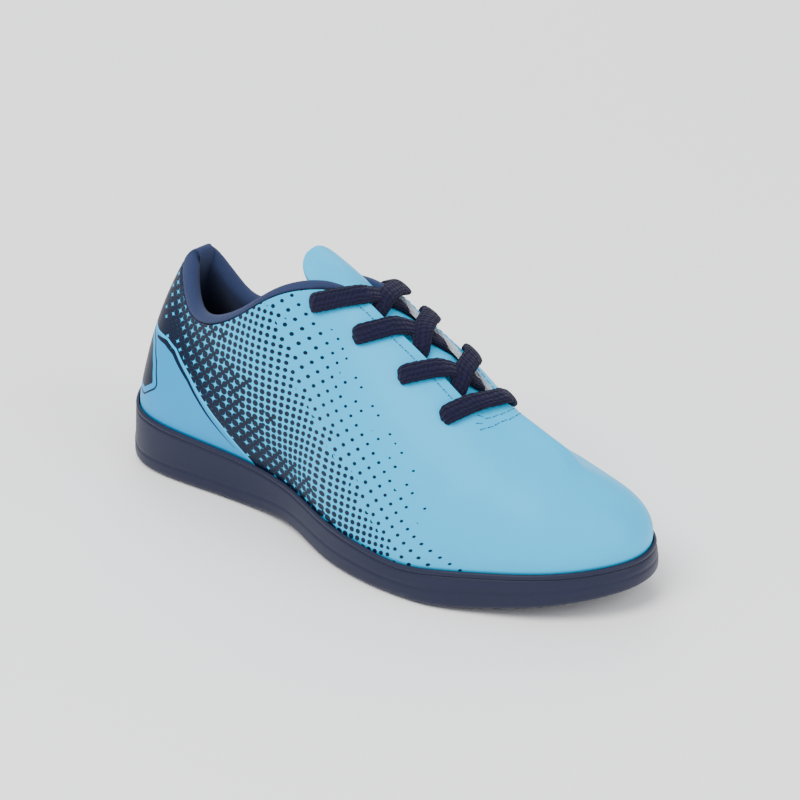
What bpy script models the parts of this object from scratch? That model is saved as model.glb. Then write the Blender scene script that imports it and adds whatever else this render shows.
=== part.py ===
"""Indoor soccer shoe for a child's right foot, as separate solids worked out from one last.

Frame: +X runs from heel to toe, +Y to the medial side, +Z up. The floor is z = 0, and the
origin is on the floor under the middle of the heel. Every piece is worked out from the same
closed curves: the outline of the sole, the height of its rim, and the edge of the upper.
"""

from collections import namedtuple
import math

import bmesh
import bpy
import numpy as np


# Driving sizes in metres

LENGTH = 0.205
BALL_WIDTH = 0.0755
HEEL_RISE = 0.0455
INSTEP_RISE = 0.068
HEEL_CENTRE = 0.037

HEEL_RIM = 0.0204
WAIST_RIM = 0.0160
BALL_RIM = 0.0120
TOE_RIM = 0.0184
LIP_DEPTH = 0.005
ARCH_RISE = 0.0015
HEEL_BEVEL = 0.004
TOE_SPRING = 0.0082

UPPER_INSET = 0.0020
UPPER_WALL = 0.0020
INSOLE_THICKNESS = 0.0030
TONGUE_THICKNESS = 0.0025
TONGUE_CROWN = 0.0016
GAP = 0.0003

SIDE_STEP = 0.0005
FOOT_BEVEL = 0.0030
TREAD_DEPTH = 0.0014
TREAD_WIDTH = 0.0020
TREAD_PITCH = 0.0070
TREAD_SLANT = 0.0050
TREAD_BAND = 0.0065
TREAD_SPINE = 0.0090
HEEL_GROOVES = 4

COLLAR_ROLL = 0.0036
COLLAR_DEPTH = 0.024
COLLAR_PAD_HEEL = 0.0026
COLLAR_PAD_BACK = 0.0034
COLLAR_PAD_SIDE = 0.0032
COLLAR_PAD_FRONT = 0.0010
COLLAR_HEM = 0.0008

TONGUE_REACH = 0.0200
TONGUE_LIFT = 0.0090
TONGUE_HALF_WIDTH = 0.0118
TONGUE_DROOP_LATERAL = 0.0050
TONGUE_DROOP_MEDIAL = 0.0085

LACE_WIDTH = 0.0066
LACE_THICKNESS = 0.0026
LACE_LIFT = 0.0012
EYELET_RADIUS = 0.0019


# Tables of the last, in shares of the named sizes: one row for each station, heel to toe

Foot = namedtuple("Foot", "along lateral medial lean_lateral lean_medial")
FEATHER = (
    Foot(0.000, 0.000, 0.000, 2, 2),
    Foot(0.025, 0.217, 0.193, -5, 2),
    Foot(0.080, 0.362, 0.325, 0, 4),
    Foot(0.180, 0.389, 0.362, 10, 8),
    Foot(0.300, 0.355, 0.326, 13, 6),
    Foot(0.420, 0.379, 0.290, 10, 0),
    Foot(0.480, 0.430, 0.308, 4, 0),
    Foot(0.540, 0.479, 0.350, 0, 2),
    Foot(0.640, 0.515, 0.446, -2, 4),
    Foot(0.700, 0.508, 0.492, 0, 6),
    Foot(0.760, 0.478, 0.508, 2, 8),
    Foot(0.840, 0.383, 0.487, 5, 9),
    Foot(0.920, 0.256, 0.417, 8, 10),
    Foot(0.975, 0.093, 0.298, 9, 10),
    Foot(1.000, -0.110, 0.110, 10, 10),
)

Edge = namedtuple("Edge", "along lateral medial rise_lateral rise_medial slope_lateral slope_medial")
EDGE = (
    Edge(0.076, 0.000, 0.000, 1.000, 1.000, 60, 60),
    Edge(0.080, 0.078, 0.095, 0.985, 0.985, 65, 65),
    Edge(0.114, 0.157, 0.152, 0.845, 0.840, 75, 75),
    Edge(0.176, 0.228, 0.190, 0.775, 0.695, 80, 80),
    Edge(0.288, 0.275, 0.256, 0.870, 0.815, 75, 75),
    Edge(0.403, 0.222, 0.198, 0.972, 0.855, 60, 65),
    Edge(0.480, 0.134, 0.118, 0.985, 0.912, 42, 45),
    Edge(0.530, 0.108, 0.098, 0.930, 0.880, 32, 40),
    Edge(0.640, 0.100, 0.090, 0.785, 0.760, 24, 38),
    Edge(0.712, 0.094, 0.104, 0.668, 0.615, 20, 42),
    Edge(0.758, 0.075, 0.130, 0.592, 0.520, 18, 42),
    Edge(0.822, 0.050, 0.160, 0.480, 0.410, 18, 38),
    Edge(0.866, 0.025, 0.165, 0.405, 0.355, 20, 34),
    Edge(0.888, -0.020, 0.135, 0.365, 0.345, 24, 30),
    Edge(0.892, -0.075, 0.075, 0.350, 0.350, 26, 26),
)

Ridge = namedtuple("Ridge", "row along side rise")
RIDGE = (
    Ridge(9, 0.726, 0.004, 0.682),
    Ridge(10, 0.765, 0.025, 0.615),
    Ridge(11, 0.835, 0.060, 0.500),
)

THROAT_ROW = 9
TOE_ROW = 11
TIP_ROW = len(FEATHER) - 1
HEEL_SHARE = 0.18
INSTEP_SHARE = 0.42

Rim = namedtuple("Rim", "along height")
RIM = (Rim(0.0, HEEL_RIM), Rim(0.35, WAIST_RIM), Rim(0.7, BALL_RIM), Rim(1.0, TOE_RIM))

Bottom = namedtuple("Bottom", "heel_flat arch_from arch_to toe_flat")
FLOOR = Bottom(heel_flat=0.06, arch_from=0.29, arch_to=0.56, toe_flat=0.74)
BEVEL_CURVE = 2.0
SPRING_CURVE = 1.4

Eyelet = namedtuple("Eyelet", "row height")
EYELETS = (Eyelet(8.80, 0.85), Eyelet(7.79, 0.85), Eyelet(6.74, 0.85), Eyelet(5.30, 0.935))

Flap = namedtuple("Flap", "reach width_share")
TONGUE_END = (Flap(0.25, 0.99), Flap(0.50, 0.96), Flap(0.72, 0.89), Flap(0.88, 0.74), Flap(0.97, 0.52),
              Flap(1.00, 0.26))
TONGUE_CURVE = 0.72
TONGUE_ARCH = 1.7

ROW_STEPS = 3
WALL_COLUMNS = 8
TOP_COLUMNS = 2
SKIRT_COLUMNS = 1
FLAP_COLUMNS = 2
START_PULL = 0.36
END_PULL = 0.36
TOP_PULL = 0.34
TONGUE_ROWS = (10, 5 + 2 / 3)
VAMP_CLEARANCE = 1.15
NORMAL_STEP = 0.0001
NORMAL_SHARE = 0.02


# Closed curves around the last

class Loop:
    """Closed cubic spline through one value for each station, over shared knots."""

    def __init__(self, knots, values):
        self.knots = knots
        self.values = np.asarray(values, float)
        count = len(self.values)
        steps = np.diff(knots)
        matrix = np.zeros((count, count))
        right = np.zeros_like(self.values)
        for i in range(count):
            before = steps[i - 1]
            after = steps[i]
            following = (i + 1) % count
            matrix[i, i - 1] += before
            matrix[i, i] += 2 * (before + after)
            matrix[i, following] += after
            rise_after = (self.values[following] - self.values[i]) / after
            rise_before = (self.values[i] - self.values[i - 1]) / before
            right[i] = 6 * (rise_after - rise_before)
        self.bend = np.linalg.solve(matrix, right)

    def segment(self, knot):
        """Index of the span, its length, and the two weights, ready for vector values."""
        knot = np.mod(np.asarray(knot, float), self.knots[-1])
        i = np.searchsorted(self.knots, knot, side="right") - 1
        i = np.clip(i, 0, len(self.values) - 1)
        span = self.knots[i + 1] - self.knots[i]
        start = (self.knots[i + 1] - knot) / span
        if self.values.ndim > 1:
            span = span[..., None]
            start = start[..., None]
        return i, (i + 1) % len(self.values), span, start, 1 - start

    def at(self, knot):
        i, j, span, a, b = self.segment(knot)
        bend = (a ** 3 - a) * self.bend[i] + (b ** 3 - b) * self.bend[j]
        return a * self.values[i] + b * self.values[j] + bend * span * span / 6

    def slope(self, knot):
        i, j, span, a, b = self.segment(knot)
        bend = (3 * b * b - 1) * self.bend[j] - (3 * a * a - 1) * self.bend[i]
        return (self.values[j] - self.values[i]) / span + bend * span / 6


def around(table, lateral, medial):
    """Values of a table once around: the lateral side to the tip, then the medial side back."""
    values = [lateral(row) for row in table]
    values += [medial(row) for row in table[-2:0:-1]]
    return np.array(values, float)


def rim_height(along):
    return np.interp(along, [r.along for r in RIM], [r.height for r in RIM])


def rise_size(along):
    return np.interp(along, [HEEL_SHARE, INSTEP_SHARE], [HEEL_RISE, INSTEP_RISE])


def forward(along):
    return along * LENGTH - HEEL_CENTRE


def edge_point(row, side, wide, rise):
    height = rim_height(row.along) + rise * rise_size(row.along)
    return (forward(row.along), side * wide * BALL_WIDTH, height)


OUTLINE_POINTS = around(
    FEATHER,
    lambda row: (forward(row.along), -row.lateral * BALL_WIDTH),
    lambda row: (forward(row.along), row.medial * BALL_WIDTH),
)
CHORDS = np.linalg.norm(np.roll(OUTLINE_POINTS, -1, axis=0) - OUTLINE_POINTS, axis=1)
KNOTS = np.concatenate([[0.0], np.cumsum(CHORDS)])
OUTLINE = Loop(KNOTS, OUTLINE_POINTS)
RIM_LOOP = Loop(KNOTS, around(FEATHER, lambda row: rim_height(row.along), lambda row: rim_height(row.along)))
LEAN = Loop(KNOTS, np.radians(around(FEATHER, lambda row: row.lean_lateral, lambda row: row.lean_medial)))
EDGE_LOOP = Loop(KNOTS, around(
    EDGE,
    lambda row: edge_point(row, -1, row.lateral, row.rise_lateral),
    lambda row: edge_point(row, 1, row.medial, row.rise_medial),
))
SLOPE = Loop(KNOTS, np.radians(around(EDGE, lambda row: row.slope_lateral, lambda row: row.slope_medial)))


def knot_of(row, medial=False):
    """Place of a station, whole or between two, on the lateral or the medial side."""
    if medial:
        return np.interp(2 * TIP_ROW - row, range(len(KNOTS)), KNOTS)
    return np.interp(row, range(len(KNOTS)), KNOTS)


def signed_knot(row):
    """Place of a station counted from the heel, negative on the lateral side."""
    return knot_of(abs(row), medial=row > 0)


def unit(vectors):
    return vectors / np.linalg.norm(vectors, axis=-1, keepdims=True)


def outward(knot):
    """Level direction that points away from the foot, square to the outline."""
    along = OUTLINE.slope(knot)
    return unit(np.stack([along[..., 1], -along[..., 0], np.zeros_like(along[..., 0])], -1))


def outline_point(knot, inset, height):
    plan = OUTLINE.at(knot)
    point = np.concatenate([plan, np.zeros(plan.shape[:-1] + (1,))], -1) - outward(knot) * inset
    point[..., 2] = height
    return point


# Surface of the upper

def bezier(p0, p1, p2, p3, v):
    v = np.asarray(v, float)[..., None]
    w = 1 - v
    return w ** 3 * p0 + 3 * v * w ** 2 * p1 + 3 * v ** 2 * w * p2 + v ** 3 * p3


def edge_direction(knot):
    """Direction in which the wall reaches its edge: inward and up."""
    along = EDGE_LOOP.slope(knot)[..., :2]
    level = unit(np.stack([-along[..., 1], along[..., 0]], -1))
    slope = SLOPE.at(knot)[..., None]
    return np.concatenate([level * np.cos(slope), np.sin(slope)], -1)


def wall_point(knot, height):
    """Outer face between the sole's rim (height 0) and the upper's edge (height 1)."""
    knot = np.asarray(knot, float)
    foot = outline_point(knot, UPPER_INSET, RIM_LOOP.at(knot))
    edge = EDGE_LOOP.at(knot)
    reach = np.linalg.norm(edge - foot, axis=-1, keepdims=True)
    lean = LEAN.at(knot)[..., None]
    rising = outward(knot) * np.sin(lean) + np.array([0.0, 0.0, 1.0]) * np.cos(lean)
    first = foot + rising * reach * START_PULL
    last = edge - edge_direction(knot) * reach * END_PULL
    return bezier(foot, first, last, edge, height)


def ridge_point(row):
    """Point of the vamp's ridge and its direction, between the throat and the toe box."""
    knots = [knot_of(r.row) for r in RIDGE]
    points = [(forward(r.along), r.side * BALL_WIDTH, rim_height(r.along) + r.rise * INSTEP_RISE)
              for r in RIDGE]
    curves = [np.polyfit(knots, axis, len(RIDGE) - 1) for axis in np.transpose(points)]
    knot = knot_of(row)
    point = np.array([np.polyval(curve, knot) for curve in curves])
    direction = np.array([np.polyval(np.polyder(curve), knot) for curve in curves])
    return point, direction


def top_point(knot, row, height):
    """Outer face of the vamp between the edge curve (height 0) and the ridge (height 1)."""
    edge = EDGE_LOOP.at(knot)
    ridge, along = ridge_point(row)
    reach = np.linalg.norm(ridge - edge)
    level = unit((ridge - edge)[:2])
    along = along / np.linalg.norm(along[:2])
    arrival = np.append(level, along[2] * np.dot(level, along[:2]))
    first = edge + edge_direction(knot) * reach * TOP_PULL
    last = ridge - arrival * reach * TOP_PULL
    return bezier(edge, first, last, ridge, height)


def upper_point(knot, row, column):
    """Point in a column counted from the skirt's hem up to the ridge."""
    column = column - SKIRT_COLUMNS
    if column < 0:
        return outline_point(knot, UPPER_INSET, RIM_LOOP.at(knot) - LIP_DEPTH + GAP)
    if column <= WALL_COLUMNS:
        return wall_point(knot, column / WALL_COLUMNS)
    return top_point(knot, row, (column - WALL_COLUMNS) / TOP_COLUMNS)


def inward(knot, height):
    """Unit normal of the wall that points into the shoe."""
    along = wall_point(knot + NORMAL_STEP, height) - wall_point(knot - NORMAL_STEP, height)
    rising = wall_point(knot, height) - wall_point(knot, height - NORMAL_SHARE)
    return unit(np.cross(rising, along))


# Blender helpers

def clear_scene():
    for old in list(bpy.data.objects):
        bpy.data.objects.remove(old, do_unlink=True)


def material(name, colour, roughness):
    made = bpy.data.materials.new(name)
    made.use_nodes = True
    shader = made.node_tree.nodes["Principled BSDF"]
    shader.inputs["Base Color"].default_value = (*colour, 1.0)
    shader.inputs["Roughness"].default_value = roughness
    shader.inputs["Metallic"].default_value = 0.0
    return made


def finish_object(name, bm, surface):
    mesh = bpy.data.meshes.new(name)
    bm.to_mesh(mesh)
    bm.free()
    mesh.shade_smooth()
    mesh.set_sharp_from_angle(angle=math.radians(40))
    mesh.materials.append(surface)
    made = bpy.data.objects.new(name, mesh)
    bpy.context.scene.collection.objects.link(made)
    return made


WELD = 1e-5


def grid(points):
    """Grid of quads moved onto rows of points; where points coincide they are welded."""
    rows, columns = points.shape[:2]
    bm = bmesh.new()
    bmesh.ops.create_grid(bm, x_segments=columns - 1, y_segments=rows - 1, size=1.0)
    for vertex, point in zip(bm.verts, points.reshape(-1, 3)):
        vertex.co = point
    return bm


def close_up(bm):
    """Weld the seams, fill open ends and turn the faces outward."""
    bmesh.ops.remove_doubles(bm, verts=bm.verts, dist=WELD)
    open_edges = [edge for edge in bm.edges if edge.is_boundary]
    if open_edges:
        bmesh.ops.holes_fill(bm, edges=open_edges)
    bmesh.ops.recalc_face_normals(bm, faces=bm.faces)


def loft(name, sections, surface):
    """Solid through closed sections, each a ring with the same number of points."""
    sections = np.asarray(sections, float)
    rings = np.concatenate([sections, sections[:, :1]], axis=1)
    bm = grid(rings)
    close_up(bm)
    return finish_object(name, bm, surface)


def cut(body, cutter, operation="DIFFERENCE"):
    modifier = body.modifiers.new(operation.title() + " " + cutter.name, "BOOLEAN")
    modifier.operation = operation
    modifier.solver = "EXACT"
    modifier.object = cutter
    cutter.hide_render = True
    cutter.display_type = "WIRE"


def stations(first, last, steps=ROW_STEPS):
    count = int(round((last - first) * steps))
    return [first + i / steps for i in range(count + 1)]


# Sole

def bottom_height(x):
    """Height of the sole's underside: flat at heel and ball, arched between, sprung at the toe."""
    along = (x + HEEL_CENTRE) / LENGTH
    heel = max(0.0, 1 - along / FLOOR.heel_flat) ** BEVEL_CURVE * HEEL_BEVEL
    arch = np.clip((along - FLOOR.arch_from) / (FLOOR.arch_to - FLOOR.arch_from), 0, 1)
    toe = max(0.0, (along - FLOOR.toe_flat) / (1 - FLOOR.toe_flat)) ** SPRING_CURVE * TOE_SPRING
    return heel + math.sin(math.pi * arch) ** 2 * ARCH_RISE + toe


SidePoint = namedtuple("SidePoint", "inset height")
SIDE = (
    SidePoint(1.00, 0.00),
    SidePoint(0.45, 0.07),
    SidePoint(0.15, 0.20),
    SidePoint(0.00, 0.42),
    SidePoint(0.00, 0.50),
)
STEP_HEIGHT = 0.56
RIM_ROUND = ((0.0009, 0.0016), (0.0011, 0.0006), (0.0014, 0.0001))


def sole_side(knot):
    """Half section of the cup sole, from its bottom edge over the rim and down to the ledge."""
    rim = float(RIM_LOOP.at(knot))
    low = bottom_height(float(OUTLINE.at(knot)[0]))
    points = [outline_point(knot, p.inset * FOOT_BEVEL, low + p.height * (rim - low)) for p in SIDE]
    points.append(outline_point(knot, SIDE_STEP, low + STEP_HEIGHT * (rim - low)))
    for inset, drop in RIM_ROUND:
        points.append(outline_point(knot, inset, rim - drop))
    lip = UPPER_INSET - GAP
    points.append(outline_point(knot, lip, rim - 2 * GAP))
    points.append(outline_point(knot, lip, rim - LIP_DEPTH))
    return points


def sole_sections(side):
    """Closed sections from heel to toe, each made of its lateral and its medial half."""
    return [side(knot_of(row)) + side(knot_of(row, medial=True))[::-1]
            for row in stations(0, TIP_ROW)]


def tread_groove(x, side):
    """Cutter of one slanted groove between the sole's spine and its edge band."""
    outline = [OUTLINE.at(knot_of(row, medial=side > 0)) for row in stations(0, TIP_ROW)]
    width = np.interp(x, [point[0] for point in outline], [abs(point[1]) for point in outline])
    outer = float(width) - TREAD_BAND
    inner = TREAD_SPINE / 2
    sections = []
    for share in (0.0, 0.5, 1.0):
        y = side * (inner + share * (outer - inner))
        back = x - share * TREAD_SLANT - TREAD_WIDTH / 2
        front = back + TREAD_WIDTH
        sections.append([
            (back, y, bottom_height(back) - TREAD_DEPTH),
            (front, y, bottom_height(front) - TREAD_DEPTH),
            (front, y, bottom_height(front) + TREAD_DEPTH),
            (back, y, bottom_height(back) + TREAD_DEPTH),
        ])
    return outer > inner + TREAD_WIDTH, sections


def tread_places():
    """Middles of the grooves under the heel and under the ball and toe, a pitch apart."""
    heel = [(i + 0.5) * TREAD_PITCH for i in range(-HEEL_GROOVES, HEEL_GROOVES)]
    first = forward(FLOOR.arch_to) + TREAD_PITCH
    last = forward(1.0) - 2 * TREAD_PITCH
    ball = list(np.arange(first, last, TREAD_PITCH))
    return heel + ball


def build_sole(surface):
    sole = loft("outsole", sole_sections(sole_side), surface)
    grooves = bmesh.new()
    for x in tread_places():
        for side in (-1, 1):
            wide_enough, sections = tread_groove(x, side)
            if wide_enough:
                add_prism(grooves, sections)
    cutter = finish_object("tread_cutter", grooves, surface)
    cut(sole, cutter)
    return sole


def add_prism(bm, sections):
    """Add a closed prism through three sections of four corners to the mesh."""
    rings = [[bm.verts.new(point) for point in section] for section in sections]
    faces = [bm.faces.new(rings[0]), bm.faces.new(rings[-1][::-1])]
    for near, far in zip(rings, rings[1:]):
        for i in range(len(near)):
            j = (i + 1) % len(near)
            faces.append(bm.faces.new((near[i], far[i], far[j], near[j])))
    bmesh.ops.recalc_face_normals(bm, faces=faces)


def insole_side(knot):
    """Half section of the insole, on the ledge and inside the upper's skirt."""
    inset = UPPER_INSET + UPPER_WALL + GAP
    floor = float(RIM_LOOP.at(knot)) - LIP_DEPTH + GAP
    top = floor + INSOLE_THICKNESS
    bevel = INSOLE_THICKNESS / 4
    return [
        outline_point(knot, inset, floor),
        outline_point(knot, inset, top - bevel),
        outline_point(knot, inset + bevel, top),
    ]


# Upper

def toe_place(ring, along, across):
    """Knot on one ring of the toe box, for a vertex of the square grid in front of its pole."""
    if along < ring:
        turn = along if across < 0 else 4 * ring - along
    else:
        turn = 2 * ring + across
    start = knot_of(TOE_ROW)
    end = knot_of(TOE_ROW, medial=True)
    return start + (end - start) * turn / (4 * ring)


def upper_points():
    """Grid of the outer face: rows from heel to toe, columns from hem over the ridge to hem."""
    half = SKIRT_COLUMNS + WALL_COLUMNS + TOP_COLUMNS
    rows = []
    for row in stations(0, TOE_ROW):
        ridge_row = max(row, THROAT_ROW)
        lateral = [upper_point(knot_of(row), ridge_row, c) for c in range(half + 1)]
        medial = [upper_point(knot_of(row, medial=True), ridge_row, c) for c in range(half)]
        rows.append(lateral + medial[::-1])
    for along in range(1, half + 1):
        line = []
        for across in range(-half, half + 1):
            ring = max(abs(across), along)
            knot = toe_place(ring, along, across)
            line.append(upper_point(knot, TOE_ROW, half - ring))
        rows.append(line)
    return np.array(rows)


def build_upper(surface):
    bm = grid(upper_points())
    bm.verts.ensure_lookup_table()
    columns = 2 * (SKIRT_COLUMNS + WALL_COLUMNS + TOP_COLUMNS) + 1
    open_rows = THROAT_ROW * ROW_STEPS
    wall = SKIRT_COLUMNS + WALL_COLUMNS
    opening = []
    for row in range(open_rows):
        for column in range(wall + 1, columns - wall - 1):
            opening.append(bm.verts[row * columns + column])
    bmesh.ops.delete(bm, geom=opening, context="VERTS")
    bmesh.ops.remove_doubles(bm, verts=bm.verts, dist=WELD)
    bmesh.ops.recalc_face_normals(bm, faces=bm.faces)
    upper = finish_object("upper", bm, surface)
    shell = upper.modifiers.new("Wall", "SOLIDIFY")
    shell.thickness = UPPER_WALL
    shell.offset = -1.0
    shell.use_even_offset = True
    cut(upper, eyelet_cutter(surface))
    return upper


def eyelet_cutter(surface):
    """Pins square to the wall at each eyelet of both flaps."""
    bm = bmesh.new()
    for eyelet in EYELETS:
        for medial in (False, True):
            knot = knot_of(eyelet.row, medial)
            centre = wall_point(knot, eyelet.height)
            axis = inward(knot, eyelet.height)
            add_pin(bm, centre - axis * 2 * UPPER_WALL, centre + axis * 2 * UPPER_WALL, EYELET_RADIUS)
    return finish_object("eyelet_cutter", bm, surface)


def add_pin(bm, start, end, radius, sides=10):
    axis = unit(end - start)
    across = unit(np.cross(axis, (0.0, 0.0, 1.0)))
    third = np.cross(axis, across)
    turns = [2 * math.pi * i / sides for i in range(sides)]
    spokes = [(across * math.cos(a) + third * math.sin(a)) * radius for a in turns]
    low = [bm.verts.new(start + spoke) for spoke in spokes]
    high = [bm.verts.new(end + spoke) for spoke in spokes]
    faces = [bm.faces.new(low), bm.faces.new(high[::-1])]
    for i in range(sides):
        j = (i + 1) % sides
        faces.append(bm.faces.new((low[i], high[i], high[j], low[j])))
    bmesh.ops.recalc_face_normals(bm, faces=faces)


# Collar lining: a padded roll over the upper's edge that runs down its inner face

CollarPoint = namedtuple("CollarPoint", "rise width")
COLLAR_TOP = (
    CollarPoint(0.45, -0.02),
    CollarPoint(0.85, 0.10),
    CollarPoint(1.00, 0.35),
    CollarPoint(0.95, 0.65),
    CollarPoint(0.60, 0.92),
    CollarPoint(0.00, 1.00),
)
CollarSide = namedtuple("CollarSide", "depth width")
COLLAR_SIDE = (CollarSide(0.30, 1.00), CollarSide(0.62, 0.80), CollarSide(0.86, 0.45))
COLLAR_BACK = (1.0, 0.75, 0.5, 0.25)

CollarPad = namedtuple("CollarPad", "row thickness roll")
COLLAR_PADS = (
    CollarPad(0, COLLAR_PAD_HEEL, 2.20),
    CollarPad(1, COLLAR_PAD_BACK, 1.80),
    CollarPad(1.5, COLLAR_PAD_BACK, 2.05),
    CollarPad(2, COLLAR_PAD_BACK, 1.50),
    CollarPad(2.5, COLLAR_PAD_SIDE, 1.15),
    CollarPad(3.2, COLLAR_PAD_SIDE, 1.00),
    CollarPad(4, COLLAR_PAD_SIDE, 1.00),
    CollarPad(5, COLLAR_PAD_FRONT, 1.00),
)
COLLAR_ROW = 5


def collar_section(row):
    knot = signed_knot(row)
    edge = wall_point(knot, 1.0)
    rising = edge_direction(knot)
    level = inward(knot, 1.0)
    pad = float(np.interp(abs(row), [p.row for p in COLLAR_PADS], [p.thickness for p in COLLAR_PADS]))
    share = float(np.interp(abs(row), [p.row for p in COLLAR_PADS], [p.roll for p in COLLAR_PADS]))
    roll = COLLAR_ROLL * share
    inner = UPPER_WALL + 2 * GAP
    reach = float(np.linalg.norm(edge - wall_point(knot, 0.0)))

    def beside(depth, inset):
        height = 1 - depth / reach
        return wall_point(knot, height) + inward(knot, height) * inset

    section = [edge + rising * GAP]
    for point in COLLAR_TOP:
        section.append(edge + rising * point.rise * roll + level * point.width * (inner + pad))
    for point in COLLAR_SIDE:
        thickness = COLLAR_HEM + point.width * (pad - COLLAR_HEM)
        section.append(beside(point.depth * COLLAR_DEPTH, inner + thickness))
    section.append(beside(COLLAR_DEPTH, inner + COLLAR_HEM))
    for depth in COLLAR_BACK:
        section.append(beside(depth * COLLAR_DEPTH, inner))
    section.append(edge + rising * GAP + level * inner)
    return section


def build_collar(surface):
    rows = stations(-COLLAR_ROW, COLLAR_ROW)
    return loft("collar_lining", [collar_section(row) for row in rows], surface)


# Tongue: a sheet under the flaps that stands free above the throat

def throat_point(row, across, inset):
    """Point between the two flaps: across runs from the lateral edge (0) to the medial (1)."""
    lateral = knot_of(row)
    medial = knot_of(row, medial=True)
    start = EDGE_LOOP.at(lateral) + inward(lateral, 1.0) * inset
    end = EDGE_LOOP.at(medial) + inward(medial, 1.0) * inset
    crown = np.array([0.0, 0.0, math.sin(math.pi * across) * TONGUE_CROWN])
    return start * (1 - across) + end * across + crown


def tongue_row(row):
    """Outer face of the tongue at one station, from under one flap to under the other."""
    inset = UPPER_WALL + 3 * GAP
    line = []
    for medial in (False, True):
        knot = knot_of(row, medial)
        flap = []
        for column in range(FLAP_COLUMNS, 0, -1):
            height = 1 - column / WALL_COLUMNS
            flap.append(wall_point(knot, height) + inward(knot, height) * inset)
        line.append(flap)
    if row > THROAT_ROW:
        edges = [knot_of(row), knot_of(row, medial=True)]
        down = unit(inward(edges[0], 1.0) + inward(edges[1], 1.0)) * inset * VAMP_CLEARANCE
        middle = [top_point(edges[0], row, h) + down for h in (0.0, 0.5, 1.0)]
        middle += [top_point(edges[1], row, h) + down for h in (0.5, 0.0)]
    else:
        middle = [throat_point(row, across, inset) for across in (0.0, 0.25, 0.5, 0.75, 1.0)]
    return line[0] + middle + line[1][::-1]


def tongue_points():
    first, last = TONGUE_ROWS
    rows = [tongue_row(first - i / ROW_STEPS) for i in range(int((first - last) * ROW_STEPS) + 1)]
    base = rows[-1]
    root = base[len(base) // 2]
    count = len(base)
    for flap in TONGUE_END:
        share = flap.reach
        centre = root + np.array([-TONGUE_REACH * share, 0.0, TONGUE_LIFT * share ** TONGUE_CURVE])
        line = []
        for i in range(count):
            q = 2 * i / (count - 1) - 1
            droop = TONGUE_DROOP_MEDIAL if q > 0 else TONGUE_DROOP_LATERAL
            drop = droop * (abs(q) * flap.width_share) ** TONGUE_ARCH
            line.append(centre + np.array([0.0, q * TONGUE_HALF_WIDTH * flap.width_share, -drop]))
        rows.append(line)
    return np.array(rows)


def build_tongue(surface):
    bm = grid(tongue_points())
    bmesh.ops.recalc_face_normals(bm, faces=bm.faces)
    if sum(face.normal.z for face in bm.faces) < 0:
        bmesh.ops.reverse_faces(bm, faces=bm.faces)
    tongue = finish_object("tongue", bm, surface)
    sheet = tongue.modifiers.new("Thickness", "SOLIDIFY")
    sheet.thickness = TONGUE_THICKNESS
    sheet.offset = -1.0
    return tongue


# Laces: flat cords as joined bars and crossings that lie over the flaps

Crossing = namedtuple("Crossing", "exit_row edge_row")
CROSSINGS = (Crossing(8.42, 8.10), Crossing(7.50, 7.30), Crossing(6.55, 6.15))

Waypoint = namedtuple("Waypoint", "share across lift rise")
STRAND = (
    Waypoint(0.00, 0.16, 0.0, 0.0),
    Waypoint(0.40, 0.42, 1.0, 0.0),
    Waypoint(0.75, 0.72, 0.0, UPPER_WALL + LACE_THICKNESS),
)
CORD_SIDES = 8


def cord(name, path, up, surface):
    """Flat oval cord along a path, its broad side square to the up directions."""
    path = np.asarray(path)
    along = unit(np.gradient(path, axis=0))
    across = unit(np.cross(along, up))
    normal = np.cross(across, along)
    sections = []
    for i in range(len(path)):
        section = []
        for k in range(CORD_SIDES):
            turn = 2 * math.pi * (k + 0.5) / CORD_SIDES
            wide = across[i] * math.cos(turn) * LACE_WIDTH / 2
            thick = normal[i] * math.sin(turn) * LACE_THICKNESS / 2
            section.append(path[i] + wide + thick)
        sections.append(section)
    return loft(name, sections, surface)


def over_flap(row, medial, height):
    """Middle of a cord that lies on a flap's outer face."""
    knot = knot_of(row, medial)
    out = -inward(knot, height)
    return wall_point(knot, height) + out * (LACE_THICKNESS / 2 + LACE_LIFT), out


def over_tongue(row, across, lift):
    """Middle of a cord above the tongue, across from the lateral (0) to the medial flap (1)."""
    height = LACE_THICKNESS / 2 + lift
    inset = UPPER_WALL + 3 * GAP - height
    return throat_point(row, across, inset), np.array([0.0, 0.0, 1.0])


def lace_bar(surface):
    eyelet = EYELETS[0]
    heights = (eyelet.height, (eyelet.height + 1) / 2, 1.0)
    lift = UPPER_WALL + 3 * GAP
    places = [over_flap(eyelet.row, False, h) for h in heights]
    places += [over_tongue(eyelet.row, a, lift) for a in (0.25, 0.5, 0.75)]
    places += [over_flap(eyelet.row, True, h) for h in heights[::-1]]
    return cord("lace_bar", [p for p, _ in places], [u for _, u in places], surface)


def lace_strand(name, index, medial, lift, surface):
    """Cord from one flap's edge, over the edge of the other flap and back to its eyelet."""
    eyelet = EYELETS[index]
    crossing = CROSSINGS[index - 1]
    places = []
    for point in STRAND:
        row = crossing.exit_row + (crossing.edge_row - crossing.exit_row) * point.share
        across = point.across if medial else 1 - point.across
        places.append(over_tongue(row, across, 3 * GAP + point.lift * lift + point.rise))
    places.append(over_flap(crossing.edge_row, medial, 1.0))
    places.append(over_flap((crossing.edge_row + eyelet.row) / 2, medial, (eyelet.height + 1) / 2))
    places.append(over_flap(eyelet.row, medial, eyelet.height))
    return cord(name, [p for p, _ in places], [u for _, u in places], surface)


def lace_cross(index, surface):
    """Two strands that cross over the tongue, joined where they touch."""
    name = f"lace_cross_{index}"
    lower = lace_strand(name, index, False, 0.0, surface)
    upper = lace_strand(name + "_cutter", index, True, LACE_THICKNESS / 2, surface)
    cut(lower, upper, "UNION")
    return lower


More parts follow.
